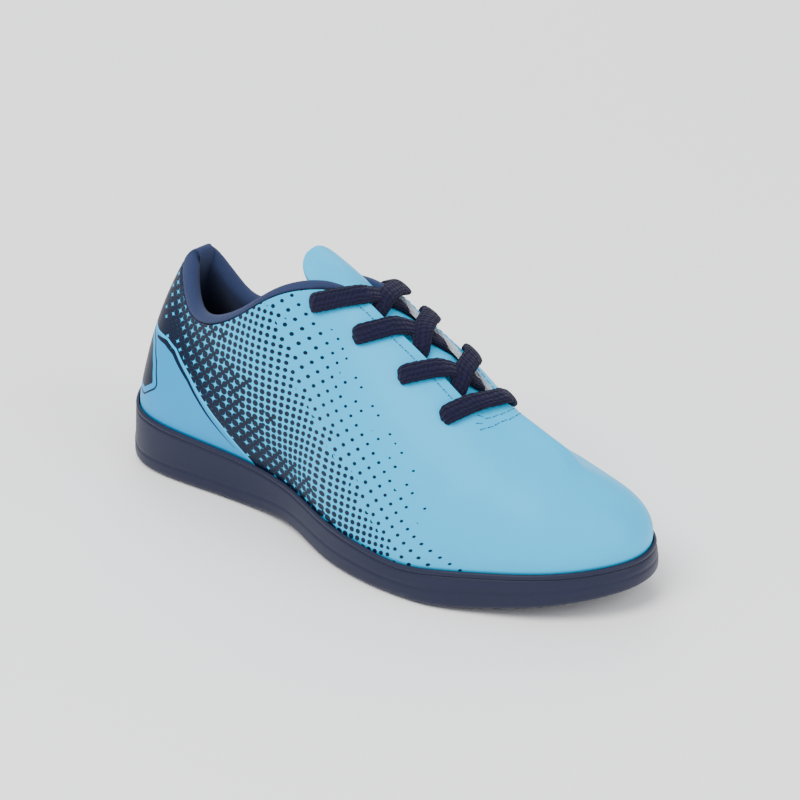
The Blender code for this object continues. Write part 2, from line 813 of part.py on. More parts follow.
def main():
    clear_scene()
    sky = material("upper", (0.165, 0.54, 0.70), 0.45)
    navy_rubber = material("outsole", (0.036, 0.042, 0.105), 0.6)
    navy_cloth = material("collar_lining", (0.042, 0.062, 0.16), 0.85)
    sky_cloth = material("tongue", (0.165, 0.54, 0.70), 0.7)
    navy_foam = material("insole", (0.036, 0.055, 0.13), 0.8)
    navy_cord = material("laces", (0.022, 0.02, 0.068), 0.85)
    build_sole(navy_rubber)
    loft("insole", sole_sections(insole_side), navy_foam)
    build_upper(sky)
    build_collar(navy_cloth)
    build_tongue(sky_cloth)
    lace_bar(navy_cord)
    for index in range(1, len(EYELETS)):
        lace_cross(index, navy_cord)


main()
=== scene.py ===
"""Indoor soccer shoe for a child's right foot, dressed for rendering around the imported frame.

Lengths are metres. +X runs from heel to toe, +Y to the medial side and +Z up. Every visible piece
is worked out from the same closed curves of the last as its CAD solid, with a finer mesh.
"""

from collections import namedtuple
import math
from operator import attrgetter

import bmesh
import bpy
from bpy.props import FloatProperty, FloatVectorProperty, PointerProperty
import numpy as np
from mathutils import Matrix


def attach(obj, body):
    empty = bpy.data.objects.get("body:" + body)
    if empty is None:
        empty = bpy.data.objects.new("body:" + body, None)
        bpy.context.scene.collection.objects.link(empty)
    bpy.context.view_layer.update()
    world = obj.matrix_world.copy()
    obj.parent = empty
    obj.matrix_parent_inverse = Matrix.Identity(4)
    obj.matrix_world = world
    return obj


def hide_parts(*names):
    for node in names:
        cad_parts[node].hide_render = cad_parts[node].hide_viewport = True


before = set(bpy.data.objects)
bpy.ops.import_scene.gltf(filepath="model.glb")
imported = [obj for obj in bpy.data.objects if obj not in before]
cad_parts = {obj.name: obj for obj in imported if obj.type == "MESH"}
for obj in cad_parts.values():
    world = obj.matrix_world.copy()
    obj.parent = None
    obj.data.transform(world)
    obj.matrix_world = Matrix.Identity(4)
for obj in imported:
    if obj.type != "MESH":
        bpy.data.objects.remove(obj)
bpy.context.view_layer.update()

bl_info = {
    "name": "Indoor soccer shoe",
    "version": (1, 0, 0),
    "blender": (4, 5, 0),
    "location": "3D View > Sidebar > Shoe",
    "description": "Builds the visible pieces of an indoor soccer shoe",
    "category": "Add Mesh",
}


# Sizes of the last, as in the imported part

LENGTH = 0.205
BALL_WIDTH = 0.0755
HEEL_RISE = 0.0455
INSTEP_RISE = 0.068
HEEL_CENTRE = 0.037
HEEL_RIM = 0.0204
WAIST_RIM = 0.0160
BALL_RIM = 0.0120
TOE_RIM = 0.0184
LIP_DEPTH = 0.005
ARCH_RISE = 0.0015
HEEL_BEVEL = 0.004
TOE_SPRING = 0.0082
UPPER_INSET = 0.0020
GAP = 0.0003
FOOT_BEVEL = 0.0030
TREAD_DEPTH = 0.0014
TREAD_WIDTH = 0.0020
TREAD_PITCH = 0.0070
TREAD_SLANT = 0.0050
TREAD_BAND = 0.0065
TREAD_SPINE = 0.0090
HEEL_GROOVES = 4
COLLAR_ROLL = 0.0036
COLLAR_DEPTH = 0.024
COLLAR_PAD_HEEL = 0.0026
COLLAR_PAD_BACK = 0.0034
COLLAR_PAD_SIDE = 0.0032
COLLAR_PAD_FRONT = 0.0010
COLLAR_HEM = 0.0008
INSOLE_THICKNESS = 0.0030
TONGUE_CROWN = 0.0016
TONGUE_REACH = 0.0200
TONGUE_LIFT = 0.0090
TONGUE_HALF_WIDTH = 0.0118
TONGUE_DROOP_LATERAL = 0.0050
TONGUE_DROOP_MEDIAL = 0.0085

Foot = namedtuple("Foot", "along lateral medial lean_lateral lean_medial")
FEATHER = (
    Foot(0.000, 0.000, 0.000, 2, 2),
    Foot(0.025, 0.217, 0.193, -5, 2),
    Foot(0.080, 0.362, 0.325, 0, 4),
    Foot(0.180, 0.389, 0.362, 10, 8),
    Foot(0.300, 0.355, 0.326, 13, 6),
    Foot(0.420, 0.379, 0.290, 10, 0),
    Foot(0.480, 0.430, 0.308, 4, 0),
    Foot(0.540, 0.479, 0.350, 0, 2),
    Foot(0.640, 0.515, 0.446, -2, 4),
    Foot(0.700, 0.508, 0.492, 0, 6),
    Foot(0.760, 0.478, 0.508, 2, 8),
    Foot(0.840, 0.383, 0.487, 5, 9),
    Foot(0.920, 0.256, 0.417, 8, 10),
    Foot(0.975, 0.093, 0.298, 9, 10),
    Foot(1.000, -0.110, 0.110, 10, 10),
)

Edge = namedtuple("Edge", "along lateral medial rise_lateral rise_medial slope_lateral slope_medial")
EDGE = (
    Edge(0.076, 0.000, 0.000, 1.000, 1.000, 60, 60),
    Edge(0.080, 0.078, 0.095, 0.985, 0.985, 65, 65),
    Edge(0.114, 0.157, 0.152, 0.845, 0.840, 75, 75),
    Edge(0.176, 0.228, 0.190, 0.775, 0.695, 80, 80),
    Edge(0.288, 0.275, 0.256, 0.870, 0.815, 75, 75),
    Edge(0.403, 0.222, 0.198, 0.972, 0.855, 60, 65),
    Edge(0.480, 0.134, 0.118, 0.985, 0.912, 42, 45),
    Edge(0.530, 0.108, 0.098, 0.930, 0.880, 32, 40),
    Edge(0.640, 0.100, 0.090, 0.785, 0.760, 24, 38),
    Edge(0.712, 0.094, 0.104, 0.668, 0.615, 20, 42),
    Edge(0.758, 0.075, 0.130, 0.592, 0.520, 18, 42),
    Edge(0.822, 0.050, 0.160, 0.480, 0.410, 18, 38),
    Edge(0.866, 0.025, 0.165, 0.405, 0.355, 20, 34),
    Edge(0.888, -0.020, 0.135, 0.365, 0.345, 24, 30),
    Edge(0.892, -0.075, 0.075, 0.350, 0.350, 26, 26),
)

Ridge = namedtuple("Ridge", "row along side rise")
RIDGE = (
    Ridge(9, 0.726, 0.004, 0.682),
    Ridge(10, 0.765, 0.025, 0.615),
    Ridge(11, 0.835, 0.060, 0.500),
)

THROAT_ROW = 9
TOE_ROW = 11
TIP_ROW = len(FEATHER) - 1
HEEL_SHARE = 0.18
INSTEP_SHARE = 0.42

Rim = namedtuple("Rim", "along height")
RIM = (Rim(0.0, HEEL_RIM), Rim(0.35, WAIST_RIM), Rim(0.7, BALL_RIM), Rim(1.0, TOE_RIM))

Bottom = namedtuple("Bottom", "heel_flat arch_from arch_to toe_flat")
FLOOR = Bottom(heel_flat=0.06, arch_from=0.29, arch_to=0.56, toe_flat=0.74)
BEVEL_CURVE = 2.0
SPRING_CURVE = 1.4

Eyelet = namedtuple("Eyelet", "row height")
EYELETS = (Eyelet(8.80, 0.85), Eyelet(7.79, 0.85), Eyelet(6.74, 0.85), Eyelet(5.30, 0.935))

Flap = namedtuple("Flap", "reach width_share")
TONGUE_END = (
    Flap(0.25, 0.99), Flap(0.50, 0.96), Flap(0.72, 0.89), Flap(0.88, 0.74), Flap(0.97, 0.52),
    Flap(1.00, 0.26),
)
TONGUE_CURVE = 0.72
TONGUE_ARCH = 1.7
START_PULL = 0.36
END_PULL = 0.36
TOP_PULL = 0.34
TONGUE_ROWS = (10, 5 + 2 / 3)
VAMP_CLEARANCE = 1.15
NORMAL_STEP = 0.0001
NORMAL_SHARE = 0.02


# Fineness of the visible meshes

ROW_STEPS = 14
SKIRT_COLUMNS = 2
WALL_COLUMNS = 44
TOP_COLUMNS = 12
SOLE_STEPS = 9
COLLAR_STEPS = 6
TONGUE_STEPS = 6
SMOOTH_LEVELS = 2
WELD = 1e-5


# Settings that a user would change

class ShoeSizes(bpy.types.PropertyGroup):
    """Sizes of the sewn and woven pieces."""

    upper_wall: FloatProperty(
        name="Upper wall", description="Thickness of the upper with its backing",
        default=0.0020, min=0.001, max=0.003, unit="LENGTH", subtype="DISTANCE")
    tongue_thickness: FloatProperty(
        name="Tongue thickness", description="Thickness of the tongue's sheet",
        default=0.0025, min=0.001, max=0.005, unit="LENGTH", subtype="DISTANCE")
    lace_width: FloatProperty(
        name="Lace width", description="Width of the flat lace",
        default=0.0067, min=0.003, max=0.009, unit="LENGTH", subtype="DISTANCE")
    lace_thickness: FloatProperty(
        name="Lace thickness", description="Thickness of the flat lace",
        default=0.0026, min=0.001, max=0.004, unit="LENGTH", subtype="DISTANCE")
    eyelet_radius: FloatProperty(
        name="Eyelet radius", description="Radius of the punched eyelets",
        default=0.0019, min=0.001, max=0.003, unit="LENGTH", subtype="DISTANCE")
    stitch_pitch: FloatProperty(
        name="Stitch pitch", description="Distance from one stitch to the next",
        default=0.0026, min=0.001, max=0.005, unit="LENGTH", subtype="DISTANCE")
    dot_pitch: FloatProperty(
        name="Dot pitch", description="Distance between the printed dots",
        default=0.0024, min=0.001, max=0.005, unit="LENGTH", subtype="DISTANCE")


class ShoeColours(bpy.types.PropertyGroup):
    """Colours of the finishes, as linear light."""

    upper: FloatVectorProperty(
        name="Upper", description="Light blue synthetic of the upper and tongue",
        default=(0.006, 0.455, 0.80), min=0.0, max=1.0, subtype="COLOR")
    counter: FloatVectorProperty(
        name="Heel counter", description="Deeper blue panel around the heel",
        default=(0.004, 0.30, 0.62), min=0.0, max=1.0, subtype="COLOR")
    ink: FloatVectorProperty(
        name="Ink", description="Navy of the printed dots and lines",
        default=(0.0012, 0.0060, 0.024), min=0.0, max=1.0, subtype="COLOR")
    rubber: FloatVectorProperty(
        name="Rubber", description="Navy rubber of the sole",
        default=(0.010, 0.012, 0.034), min=0.0, max=1.0, subtype="COLOR")
    lining: FloatVectorProperty(
        name="Lining", description="Navy cloth of the collar and the inside",
        default=(0.024, 0.038, 0.100), min=0.0, max=1.0, subtype="COLOR")
    backing: FloatVectorProperty(
        name="Backing", description="Pale cloth behind the eyelet flaps",
        default=(0.52, 0.56, 0.60), min=0.0, max=1.0, subtype="COLOR")
    lace: FloatVectorProperty(
        name="Lace", description="Dark navy yarn of the laces",
        default=(0.010, 0.0095, 0.031), min=0.0, max=1.0, subtype="COLOR")
    thread: FloatVectorProperty(
        name="Thread", description="Blue sewing thread",
        default=(0.008, 0.20, 0.42), min=0.0, max=1.0, subtype="COLOR")
    floor: FloatVectorProperty(
        name="Floor", description="Pale studio floor",
        default=(1.0, 0.99, 0.985), min=0.0, max=1.0, subtype="COLOR")


# Closed curves around the last

class Loop:
    """Closed cubic spline through one value for each station, over shared knots."""

    def __init__(self, knots, values):
        self.knots = knots
        self.values = np.asarray(values, float)
        count = len(self.values)
        steps = np.diff(knots)
        matrix = np.zeros((count, count))
        right = np.zeros_like(self.values)
        for i in range(count):
            before = steps[i - 1]
            after = steps[i]
            following = (i + 1) % count
            matrix[i, i - 1] += before
            matrix[i, i] += 2 * (before + after)
            matrix[i, following] += after
            rise_after = (self.values[following] - self.values[i]) / after
            rise_before = (self.values[i] - self.values[i - 1]) / before
            right[i] = 6 * (rise_after - rise_before)
        self.bend = np.linalg.solve(matrix, right)

    def segment(self, knot):
        """Index of the span, its length, and the two weights, ready for vector values."""
        knot = np.mod(np.asarray(knot, float), self.knots[-1])
        i = np.searchsorted(self.knots, knot, side="right") - 1
        i = np.clip(i, 0, len(self.values) - 1)
        span = self.knots[i + 1] - self.knots[i]
        start = (self.knots[i + 1] - knot) / span
        if self.values.ndim > 1:
            span = span[..., None]
            start = start[..., None]
        return i, (i + 1) % len(self.values), span, start, 1 - start

    def at(self, knot):
        i, j, span, a, b = self.segment(knot)
        bend = (a ** 3 - a) * self.bend[i] + (b ** 3 - b) * self.bend[j]
        return a * self.values[i] + b * self.values[j] + bend * span * span / 6

    def slope(self, knot):
        i, j, span, a, b = self.segment(knot)
        bend = (3 * b * b - 1) * self.bend[j] - (3 * a * a - 1) * self.bend[i]
        return (self.values[j] - self.values[i]) / span + bend * span / 6


def read_table(table, place):
    """Each further column of a table, read between its rows by the first column."""
    first, *others = zip(*table)
    return [np.interp(place, first, column) for column in others]


def around(table, lateral, medial):
    """Values of a table once around: the lateral side to the tip, then the medial side back."""
    values = [lateral(row) for row in table]
    values += [medial(row) for row in table[-2:0:-1]]
    return np.array(values, float)


def rim_height(along):
    return read_table(RIM, along)[0]


def rise_size(along):
    return np.interp(along, [HEEL_SHARE, INSTEP_SHARE], [HEEL_RISE, INSTEP_RISE])


def forward(along):
    return along * LENGTH - HEEL_CENTRE


def foot_rim(row):
    return rim_height(row.along)


def edge_point(row, side, wide, rise):
    height = rim_height(row.along) + rise * rise_size(row.along)
    return (forward(row.along), side * wide * BALL_WIDTH, height)


OUTLINE_POINTS = around(
    FEATHER,
    lambda row: (forward(row.along), -row.lateral * BALL_WIDTH),
    lambda row: (forward(row.along), row.medial * BALL_WIDTH),
)
CHORDS = np.linalg.norm(np.roll(OUTLINE_POINTS, -1, axis=0) - OUTLINE_POINTS, axis=1)
KNOTS = np.concatenate([[0.0], np.cumsum(CHORDS)])
OUTLINE = Loop(KNOTS, OUTLINE_POINTS)
RIM_LOOP = Loop(KNOTS, around(FEATHER, foot_rim, foot_rim))
LEAN = Loop(KNOTS, np.radians(around(FEATHER, attrgetter("lean_lateral"), attrgetter("lean_medial"))))
EDGE_LOOP = Loop(KNOTS, around(
    EDGE,
    lambda row: edge_point(row, -1, row.lateral, row.rise_lateral),
    lambda row: edge_point(row, 1, row.medial, row.rise_medial),
))
SLOPE = Loop(KNOTS, np.radians(around(EDGE, attrgetter("slope_lateral"), attrgetter("slope_medial"))))


def knot_of(row, medial=False):
    """Place of a station, whole or between two, on the lateral or the medial side."""
    return np.interp(np.where(medial, 2 * TIP_ROW - row, row), range(len(KNOTS)), KNOTS)


def signed_knot(row):
    """Place of a station counted from the heel, negative on the lateral side."""
    return knot_of(np.abs(row), row > 0)


UP = np.array([0.0, 0.0, 1.0])


def unit(vectors):
    return vectors / np.linalg.norm(vectors, axis=-1, keepdims=True)


def distances(points):
    """Length of the way from the first point to each."""
    steps = np.linalg.norm(np.diff(points, axis=0), axis=1)
    return np.concatenate([[0], np.cumsum(steps)])


def outward(knot):
    """Level direction that points away from the foot, square to the outline."""
    along = OUTLINE.slope(knot)
    return unit(np.stack([along[..., 1], -along[..., 0], np.zeros_like(along[..., 0])], -1))


def outline_point(knot, inset, height):
    plan = OUTLINE.at(knot)
    inset = np.asarray(inset, float)[..., None]
    point = np.concatenate([plan, np.zeros(plan.shape[:-1] + (1,))], -1) - outward(knot) * inset
    point[..., 2] = height
    return point


# Surface of the upper

def bezier(p0, p1, p2, p3, v):
    v = np.asarray(v, float)[..., None]
    w = 1 - v
    return w ** 3 * p0 + 3 * v * w ** 2 * p1 + 3 * v ** 2 * w * p2 + v ** 3 * p3


def edge_direction(knot):
    """Direction in which the wall reaches its edge: inward and up."""
    along = EDGE_LOOP.slope(knot)[..., :2]
    level = unit(np.stack([-along[..., 1], along[..., 0]], -1))
    slope = SLOPE.at(knot)[..., None]
    return np.concatenate([level * np.cos(slope), np.sin(slope)], -1)


def wall_point(knot, height):
    """Outer face between the sole's rim (height 0) and the upper's edge (height 1)."""
    knot = np.asarray(knot, float)
    foot = outline_point(knot, UPPER_INSET, RIM_LOOP.at(knot))
    edge = EDGE_LOOP.at(knot)
    reach = np.linalg.norm(edge - foot, axis=-1, keepdims=True)
    lean = LEAN.at(knot)[..., None]
    rising = outward(knot) * np.sin(lean) + UP * np.cos(lean)
    first = foot + rising * reach * START_PULL
    last = edge - edge_direction(knot) * reach * END_PULL
    return bezier(foot, first, last, edge, height)


RIDGE_KNOTS = [knot_of(r.row) for r in RIDGE]
RIDGE_POINTS = [
    (forward(r.along), r.side * BALL_WIDTH, rim_height(r.along) + r.rise * INSTEP_RISE) for r in RIDGE
]
RIDGE_CURVES = [np.polyfit(RIDGE_KNOTS, axis, len(RIDGE) - 1) for axis in np.transpose(RIDGE_POINTS)]


def ridge_point(row):
    """Point of the vamp's ridge and its direction, between the throat and the toe box."""
    knot = knot_of(row)
    point = np.stack([np.polyval(curve, knot) for curve in RIDGE_CURVES], -1)
    direction = np.stack([np.polyval(np.polyder(curve), knot) for curve in RIDGE_CURVES], -1)
    return point, direction


def top_point(knot, row, height):
    """Outer face of the vamp between the edge curve (height 0) and the ridge (height 1)."""
    edge = EDGE_LOOP.at(knot)
    ridge, along = ridge_point(row)
    reach = np.linalg.norm(ridge - edge, axis=-1, keepdims=True)
    level = unit((ridge - edge)[..., :2])
    along = along / np.linalg.norm(along[..., :2], axis=-1, keepdims=True)
    climb = along[..., 2:] * np.sum(level * along[..., :2], axis=-1, keepdims=True)
    arrival = np.concatenate([level, climb], -1)
    first = edge + edge_direction(knot) * reach * TOP_PULL
    last = ridge - arrival * reach * TOP_PULL
    return bezier(edge, first, last, ridge, height)


def upper_surface(knot, row, column):
    """Points in columns counted from the skirt's hem up to the ridge."""
    column = column - SKIRT_COLUMNS
    skirt = np.clip(-column / SKIRT_COLUMNS, 0, 1)
    hem = outline_point(knot, UPPER_INSET, RIM_LOOP.at(knot) - skirt * (LIP_DEPTH - GAP))
    wall = wall_point(knot, np.clip(column / WALL_COLUMNS, 0, 1))
    top = top_point(knot, row, np.clip((column - WALL_COLUMNS) / TOP_COLUMNS, 0, 1))
    column = column[..., None]
    return np.where(column < 0, hem, np.where(column <= WALL_COLUMNS, wall, top))


def inward(knot, height):
    """Unit normal of the wall that points into the shoe."""
    along = wall_point(knot + NORMAL_STEP, height) - wall_point(knot - NORMAL_STEP, height)
    rising = wall_point(knot, height) - wall_point(knot, height - NORMAL_SHARE)
    return unit(np.cross(rising, along))


# Lengths over the upper, in millimetres: along from the heel and up from the sole's rim

MILLIMETRE = 0.001
MEASURE_STEPS = 500
TIP_KNOT = float(knot_of(TIP_ROW))


def length_table(sign):
    """Length along the middle of the wall from the heel to the tip, on one side."""
    reach = TIP_KNOT if sign > 0 else KNOTS[-1] - TIP_KNOT
    places = np.linspace(0, reach, MEASURE_STEPS)
    return places, distances(wall_point(sign * places, 0.5)) / MILLIMETRE


LATERAL_LENGTHS = length_table(1)
MEDIAL_LENGTHS = length_table(-1)


def length_along(knot):
    """Length from the heel, positive on the lateral side and negative on the medial side."""
    medial = knot > TIP_KNOT
    lateral_length = np.interp(knot, *LATERAL_LENGTHS)
    medial_length = np.interp(KNOTS[-1] - knot, *MEDIAL_LENGTHS)
    return np.where(medial, -medial_length, lateral_length)


def stretch_distance(places, start, end):
    """Distance of places from one straight stretch, and their side of it: 1 to its right."""
    start = np.array(start, float)
    way = np.array(end, float) - start
    reach = places - start
    share = np.clip((reach @ way) / (way @ way), 0, 1)
    away = np.linalg.norm(reach - share[..., None] * way, axis=-1)
    return away, -np.sign(way[0] * reach[..., 1] - way[1] * reach[..., 0])


def line_distance(places, line):
    """Signed distance of places from a line through points, positive to the right of its way."""
    best = np.full(places.shape[:-1], np.inf)
    signed = np.zeros_like(best)
    for start, end in zip(line, line[1:]):
        away, side = stretch_distance(places, start, end)
        nearer = away < best
        best = np.where(nearer, away, best)
        signed = np.where(nearer, side * away, signed)
    return signed


# Mesh helpers

def grid(points):
    """Grid of quads moved onto rows of points."""
    rows, columns = points.shape[:2]
    bm = bmesh.new()
    bmesh.ops.create_grid(bm, x_segments=columns - 1, y_segments=rows - 1, size=1.0)
    bm.verts.ensure_lookup_table()
    for vertex, point in zip(bm.verts, points.reshape(-1, 3)):
        vertex.co = point
    return bm


def close_up(bm):
    """Weld the seams, fill open ends and turn the faces outward."""
    bmesh.ops.remove_doubles(bm, verts=bm.verts, dist=WELD)
    open_edges = [edge for edge in bm.edges if edge.is_boundary]
    if open_edges:
        bmesh.ops.holes_fill(bm, edges=open_edges)
    bmesh.ops.recalc_face_normals(bm, faces=bm.faces)


def add_object(name, data):
    thing = bpy.data.objects.new(name, data)
    bpy.context.scene.collection.objects.link(thing)
    return thing


def finish_piece(name, bm, *finishes, sharp=50):
    """Object with the mesh and its finishes, smooth up to the sharp angle in degrees."""
    mesh = bpy.data.meshes.new(name)
    bm.to_mesh(mesh)
    bm.free()
    mesh.shade_smooth()
    mesh.set_sharp_from_angle(angle=math.radians(sharp))
    for finish in finishes:
        mesh.materials.append(finish)
    return add_object(name, mesh)


def modify(piece, name, kind, **values):
    """Add a modifier with its values."""
    modifier = piece.modifiers.new(name, kind)
    for setting, value in values.items():
        setattr(modifier, setting, value)


def settle(piece, sharp=None):
    """Apply the piece's modifiers to its mesh, and mark edges over the sharp angle in degrees."""
    bpy.context.view_layer.update()
    depsgraph = bpy.context.evaluated_depsgraph_get()
    mesh = bpy.data.meshes.new_from_object(piece.evaluated_get(depsgraph), depsgraph=depsgraph)
    piece.modifiers.clear()
    piece.data = mesh
    if sharp is not None:
        mesh.set_sharp_from_angle(angle=math.radians(sharp))


def cut_away(piece, cutter, sharp):
    """Cut one piece with another, then delete the cutter."""
    modify(piece, "Cut", "BOOLEAN", operation="DIFFERENCE", solver="EXACT", object=cutter)
    settle(piece, sharp)
    bpy.data.objects.remove(cutter, do_unlink=True)


def rounded(piece):
    modify(piece, "Smooth", "SUBSURF", levels=SMOOTH_LEVELS, render_levels=SMOOTH_LEVELS)


def lay_uv(bm, name, places):
    """Give each corner the UV place of its vertex."""
    layer = bm.loops.layers.uv.new(name)
    for face in bm.faces:
        for loop in face.loops:
            loop[layer].uv = places[loop.vert.index]


def hand_over(piece, slot, *nodes):
    """Ride the piece on the body, and let it stand for its CAD nodes."""
    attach(piece, "root")
    if nodes:
        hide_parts(*nodes)


def stations(first, last, steps):
    count = int(round((last - first) * steps))
    return first + np.arange(count + 1) / steps


UPPER_ROWS = stations(0, TOE_ROW, ROW_STEPS)
SOLE_ROWS = stations(0, TIP_ROW, SOLE_STEPS)


# Finishes: node materials written as arithmetic on wires

class Wire:
    """A node's output that takes part in ordinary arithmetic."""

    def __init__(self, finish, socket):
        self.finish = finish
        self.socket = socket

    def maths(self, operation, *values):
        inputs = dict(enumerate(values))
        return self.finish.node("ShaderNodeMath", {"operation": operation}, inputs)

    def __add__(self, other):
        return self.maths("ADD", self, other)

    __radd__ = __add__

    def __sub__(self, other):
        return self.maths("SUBTRACT", self, other)

    def __rsub__(self, other):
        return self.maths("SUBTRACT", other, self)

    def __mul__(self, other):
        return self.maths("MULTIPLY", self, other)

    __rmul__ = __mul__

    def __truediv__(self, other):
        return self.maths("DIVIDE", self, other)

    def floor(self):
        return self.maths("FLOOR", self)

    def size(self):
        return self.maths("ABSOLUTE", self)

    def sine(self):
        return self.maths("SINE", self)

    def root(self):
        return self.maths("SQRT", self)

    def above(self, other):
        return self.maths("GREATER_THAN", self, other)

    def larger(self, other):
        return self.maths("MAXIMUM", self, other)

    def fade(self, start, end):
        """0 before start, 1 after end, and smooth between them."""
        settings = {"interpolation_type": "SMOOTHSTEP", "clamp": True}
        inputs = {"Value": self, "From Min": start, "From Max": end, "To Min": 0.0, "To Max": 1.0}
        return self.finish.node("ShaderNodeMapRange", settings, inputs)


class Finish:
    """A material around one Principled shader."""

    def __init__(self, name):
        self.material = bpy.data.materials.new(name)
        self.material.use_nodes = True
        self.tree = self.material.node_tree
        self.shader = self.tree.nodes["Principled BSDF"]

    def node(self, kind, settings=(), inputs=(), output=0):
        """Add a node: its settings first, then the values or wires of its sockets."""
        made = self.tree.nodes.new(kind)
        for name, value in dict(settings).items():
            setattr(made, name, value)
        for name, value in dict(inputs).items():
            self.join(made.inputs[name], value)
        return Wire(self, made.outputs[output])

    def join(self, socket, value):
        if isinstance(value, Wire):
            self.tree.links.new(value.socket, socket)
        else:
            socket.default_value = value

    def set(self, **values):
        """Values or wires of the shader's sockets, named with underscores for spaces."""
        for name, value in values.items():
            self.join(self.shader.inputs[name.replace("_", " ")], value)

    def place(self):
        return self.node("ShaderNodeTexCoord", output="Object")

    def uv(self):
        return self.node("ShaderNodeTexCoord", output="UV")

    def parts(self, vector, axes):
        """The named parts of a vector, such as XY."""
        return [self.node("ShaderNodeSeparateXYZ", {}, {0: vector}, axis) for axis in axes]

    def attribute(self, name):
        return self.node("ShaderNodeAttribute", {"attribute_name": name}, {}, "Fac")

    def vector(self, x, y, z=0.0):
        return self.node("ShaderNodeCombineXYZ", {}, {0: x, 1: y, 2: z})

    def noise(self, scale, detail=3.0, roughness=0.5, where=None):
        inputs = {"Vector": where or self.place(), "Scale": scale, "Detail": detail}
        inputs["Roughness"] = roughness
        return self.node("ShaderNodeTexNoise", {}, inputs, 0)

    def cells(self, scale):
        inputs = {"Vector": self.place(), "Scale": scale}
        return self.node("ShaderNodeTexVoronoi", {"feature": "F1"}, inputs, "Distance")

    def chance(self, x, y):
        """A steady random number for each whole x and y."""
        settings = {"noise_dimensions": "2D"}
        return self.node("ShaderNodeTexWhiteNoise", settings, {"Vector": self.vector(x, y)}, "Value")

    def blend(self, share, first, second):
        """Colour mixed from first (share 0) to second (share 1)."""
        inputs = {0: share, 6: colour(first), 7: colour(second)}
        return self.node("ShaderNodeMix", {"data_type": "RGBA"}, inputs, 2)

    def shade(self, tint, amount):
        """Colour made lighter or darker by an amount around 1."""
        tint = tint if isinstance(tint, Wire) else tuple(tint[:3])
        inputs = {0: tint, 1: self.vector(amount, amount, amount)}
        return self.node("ShaderNodeVectorMath", {"operation": "MULTIPLY"}, inputs)

    def bump(self, height, distance, strength=1.0, normal=None):
        inputs = {"Height": height, "Distance": distance, "Strength": strength}
        if normal is not None:
            inputs["Normal"] = normal
        return self.node("ShaderNodeBump", {}, inputs)


def colour(value):
    return value if isinstance(value, Wire) else (*value[:3], 1.0)


def lighter(tint, amount):
    return tuple(min(1.0, channel * amount) for channel in tint[:3])


DOT_STRETCH = 1.34
COLUMN_LEAN = 0.08
ROW_LEAN = 0.15
DOT_EDGE = 0.05
FILL_EDGE = (0.36, 0.42)
OTHER_CHANCE = 0.3


def dots(finish, strength, pitch):
    """Dots in leaning rows and columns that swell and merge with the print's strength."""
    along, up = finish.parts(finish.uv(), "XY")
    x = (along - up * COLUMN_LEAN) / (pitch * DOT_STRETCH)
    y = (up - along * ROW_LEAN) / pitch
    column, row, away, odd = lattice(x + 0.5, y + 0.5)
    luck = finish.chance(column, row)
    enough = strength.above(0.03 + luck * 0.10 + odd * 0.20)
    radius = 0.12 + strength * 0.68 - strength * strength * 0.24
    dot = (1.0 - away.fade(radius - DOT_EDGE, radius + DOT_EDGE)) * enough
    column, row, away, odd = lattice(x, y)
    luck = finish.chance(column + OTHER_CHANCE, row)
    merged = strength.above(1.0 - luck * 0.22 - odd * 0.30)
    return dot.larger((1.0 - away.fade(*FILL_EDGE)) * merged)


def lattice(x, y):
    """Column and row of the cell around a place, how far off its middle, and if it is odd."""
    column = x.floor()
    row = y.floor()
    off_x = x - column - 0.5
    off_y = y - row - 0.5
    away = (off_x * off_x + off_y * off_y).root()
    half = (column + row) * 0.5
    return column, row, away, (half - half.floor()).above(0.25)


SKIN_GRAIN = (2400.0, 3.0, 0.6)


def skin_normal(finish, fold_scale, fold_depth, fold_strength, raised):
    """Grain of the synthetic: soft folds, pores and a fine nap, with what is printed raised."""
    normal = finish.bump(finish.noise(fold_scale, 4.0, 0.55), fold_depth, fold_strength)
    normal = finish.bump(finish.cells(1700.0), 0.00006, 0.35, normal)
    return finish.bump(raised, 0.00003, 0.5, normal)


PRINT_EDGE = (-0.05, 0.05)
DOTS_END = (-0.85, -0.75)
FRAME_START = (0.9, 1.1)
FRAME_AWAY = 2.1
FRAME_EDGE = (0.25, 0.40)
# Heights in millimetres above the sole's rim over which the painted shade at the join with the sole
# fades out
JOIN_SHADE_HEIGHT = (0.0, 0.7)


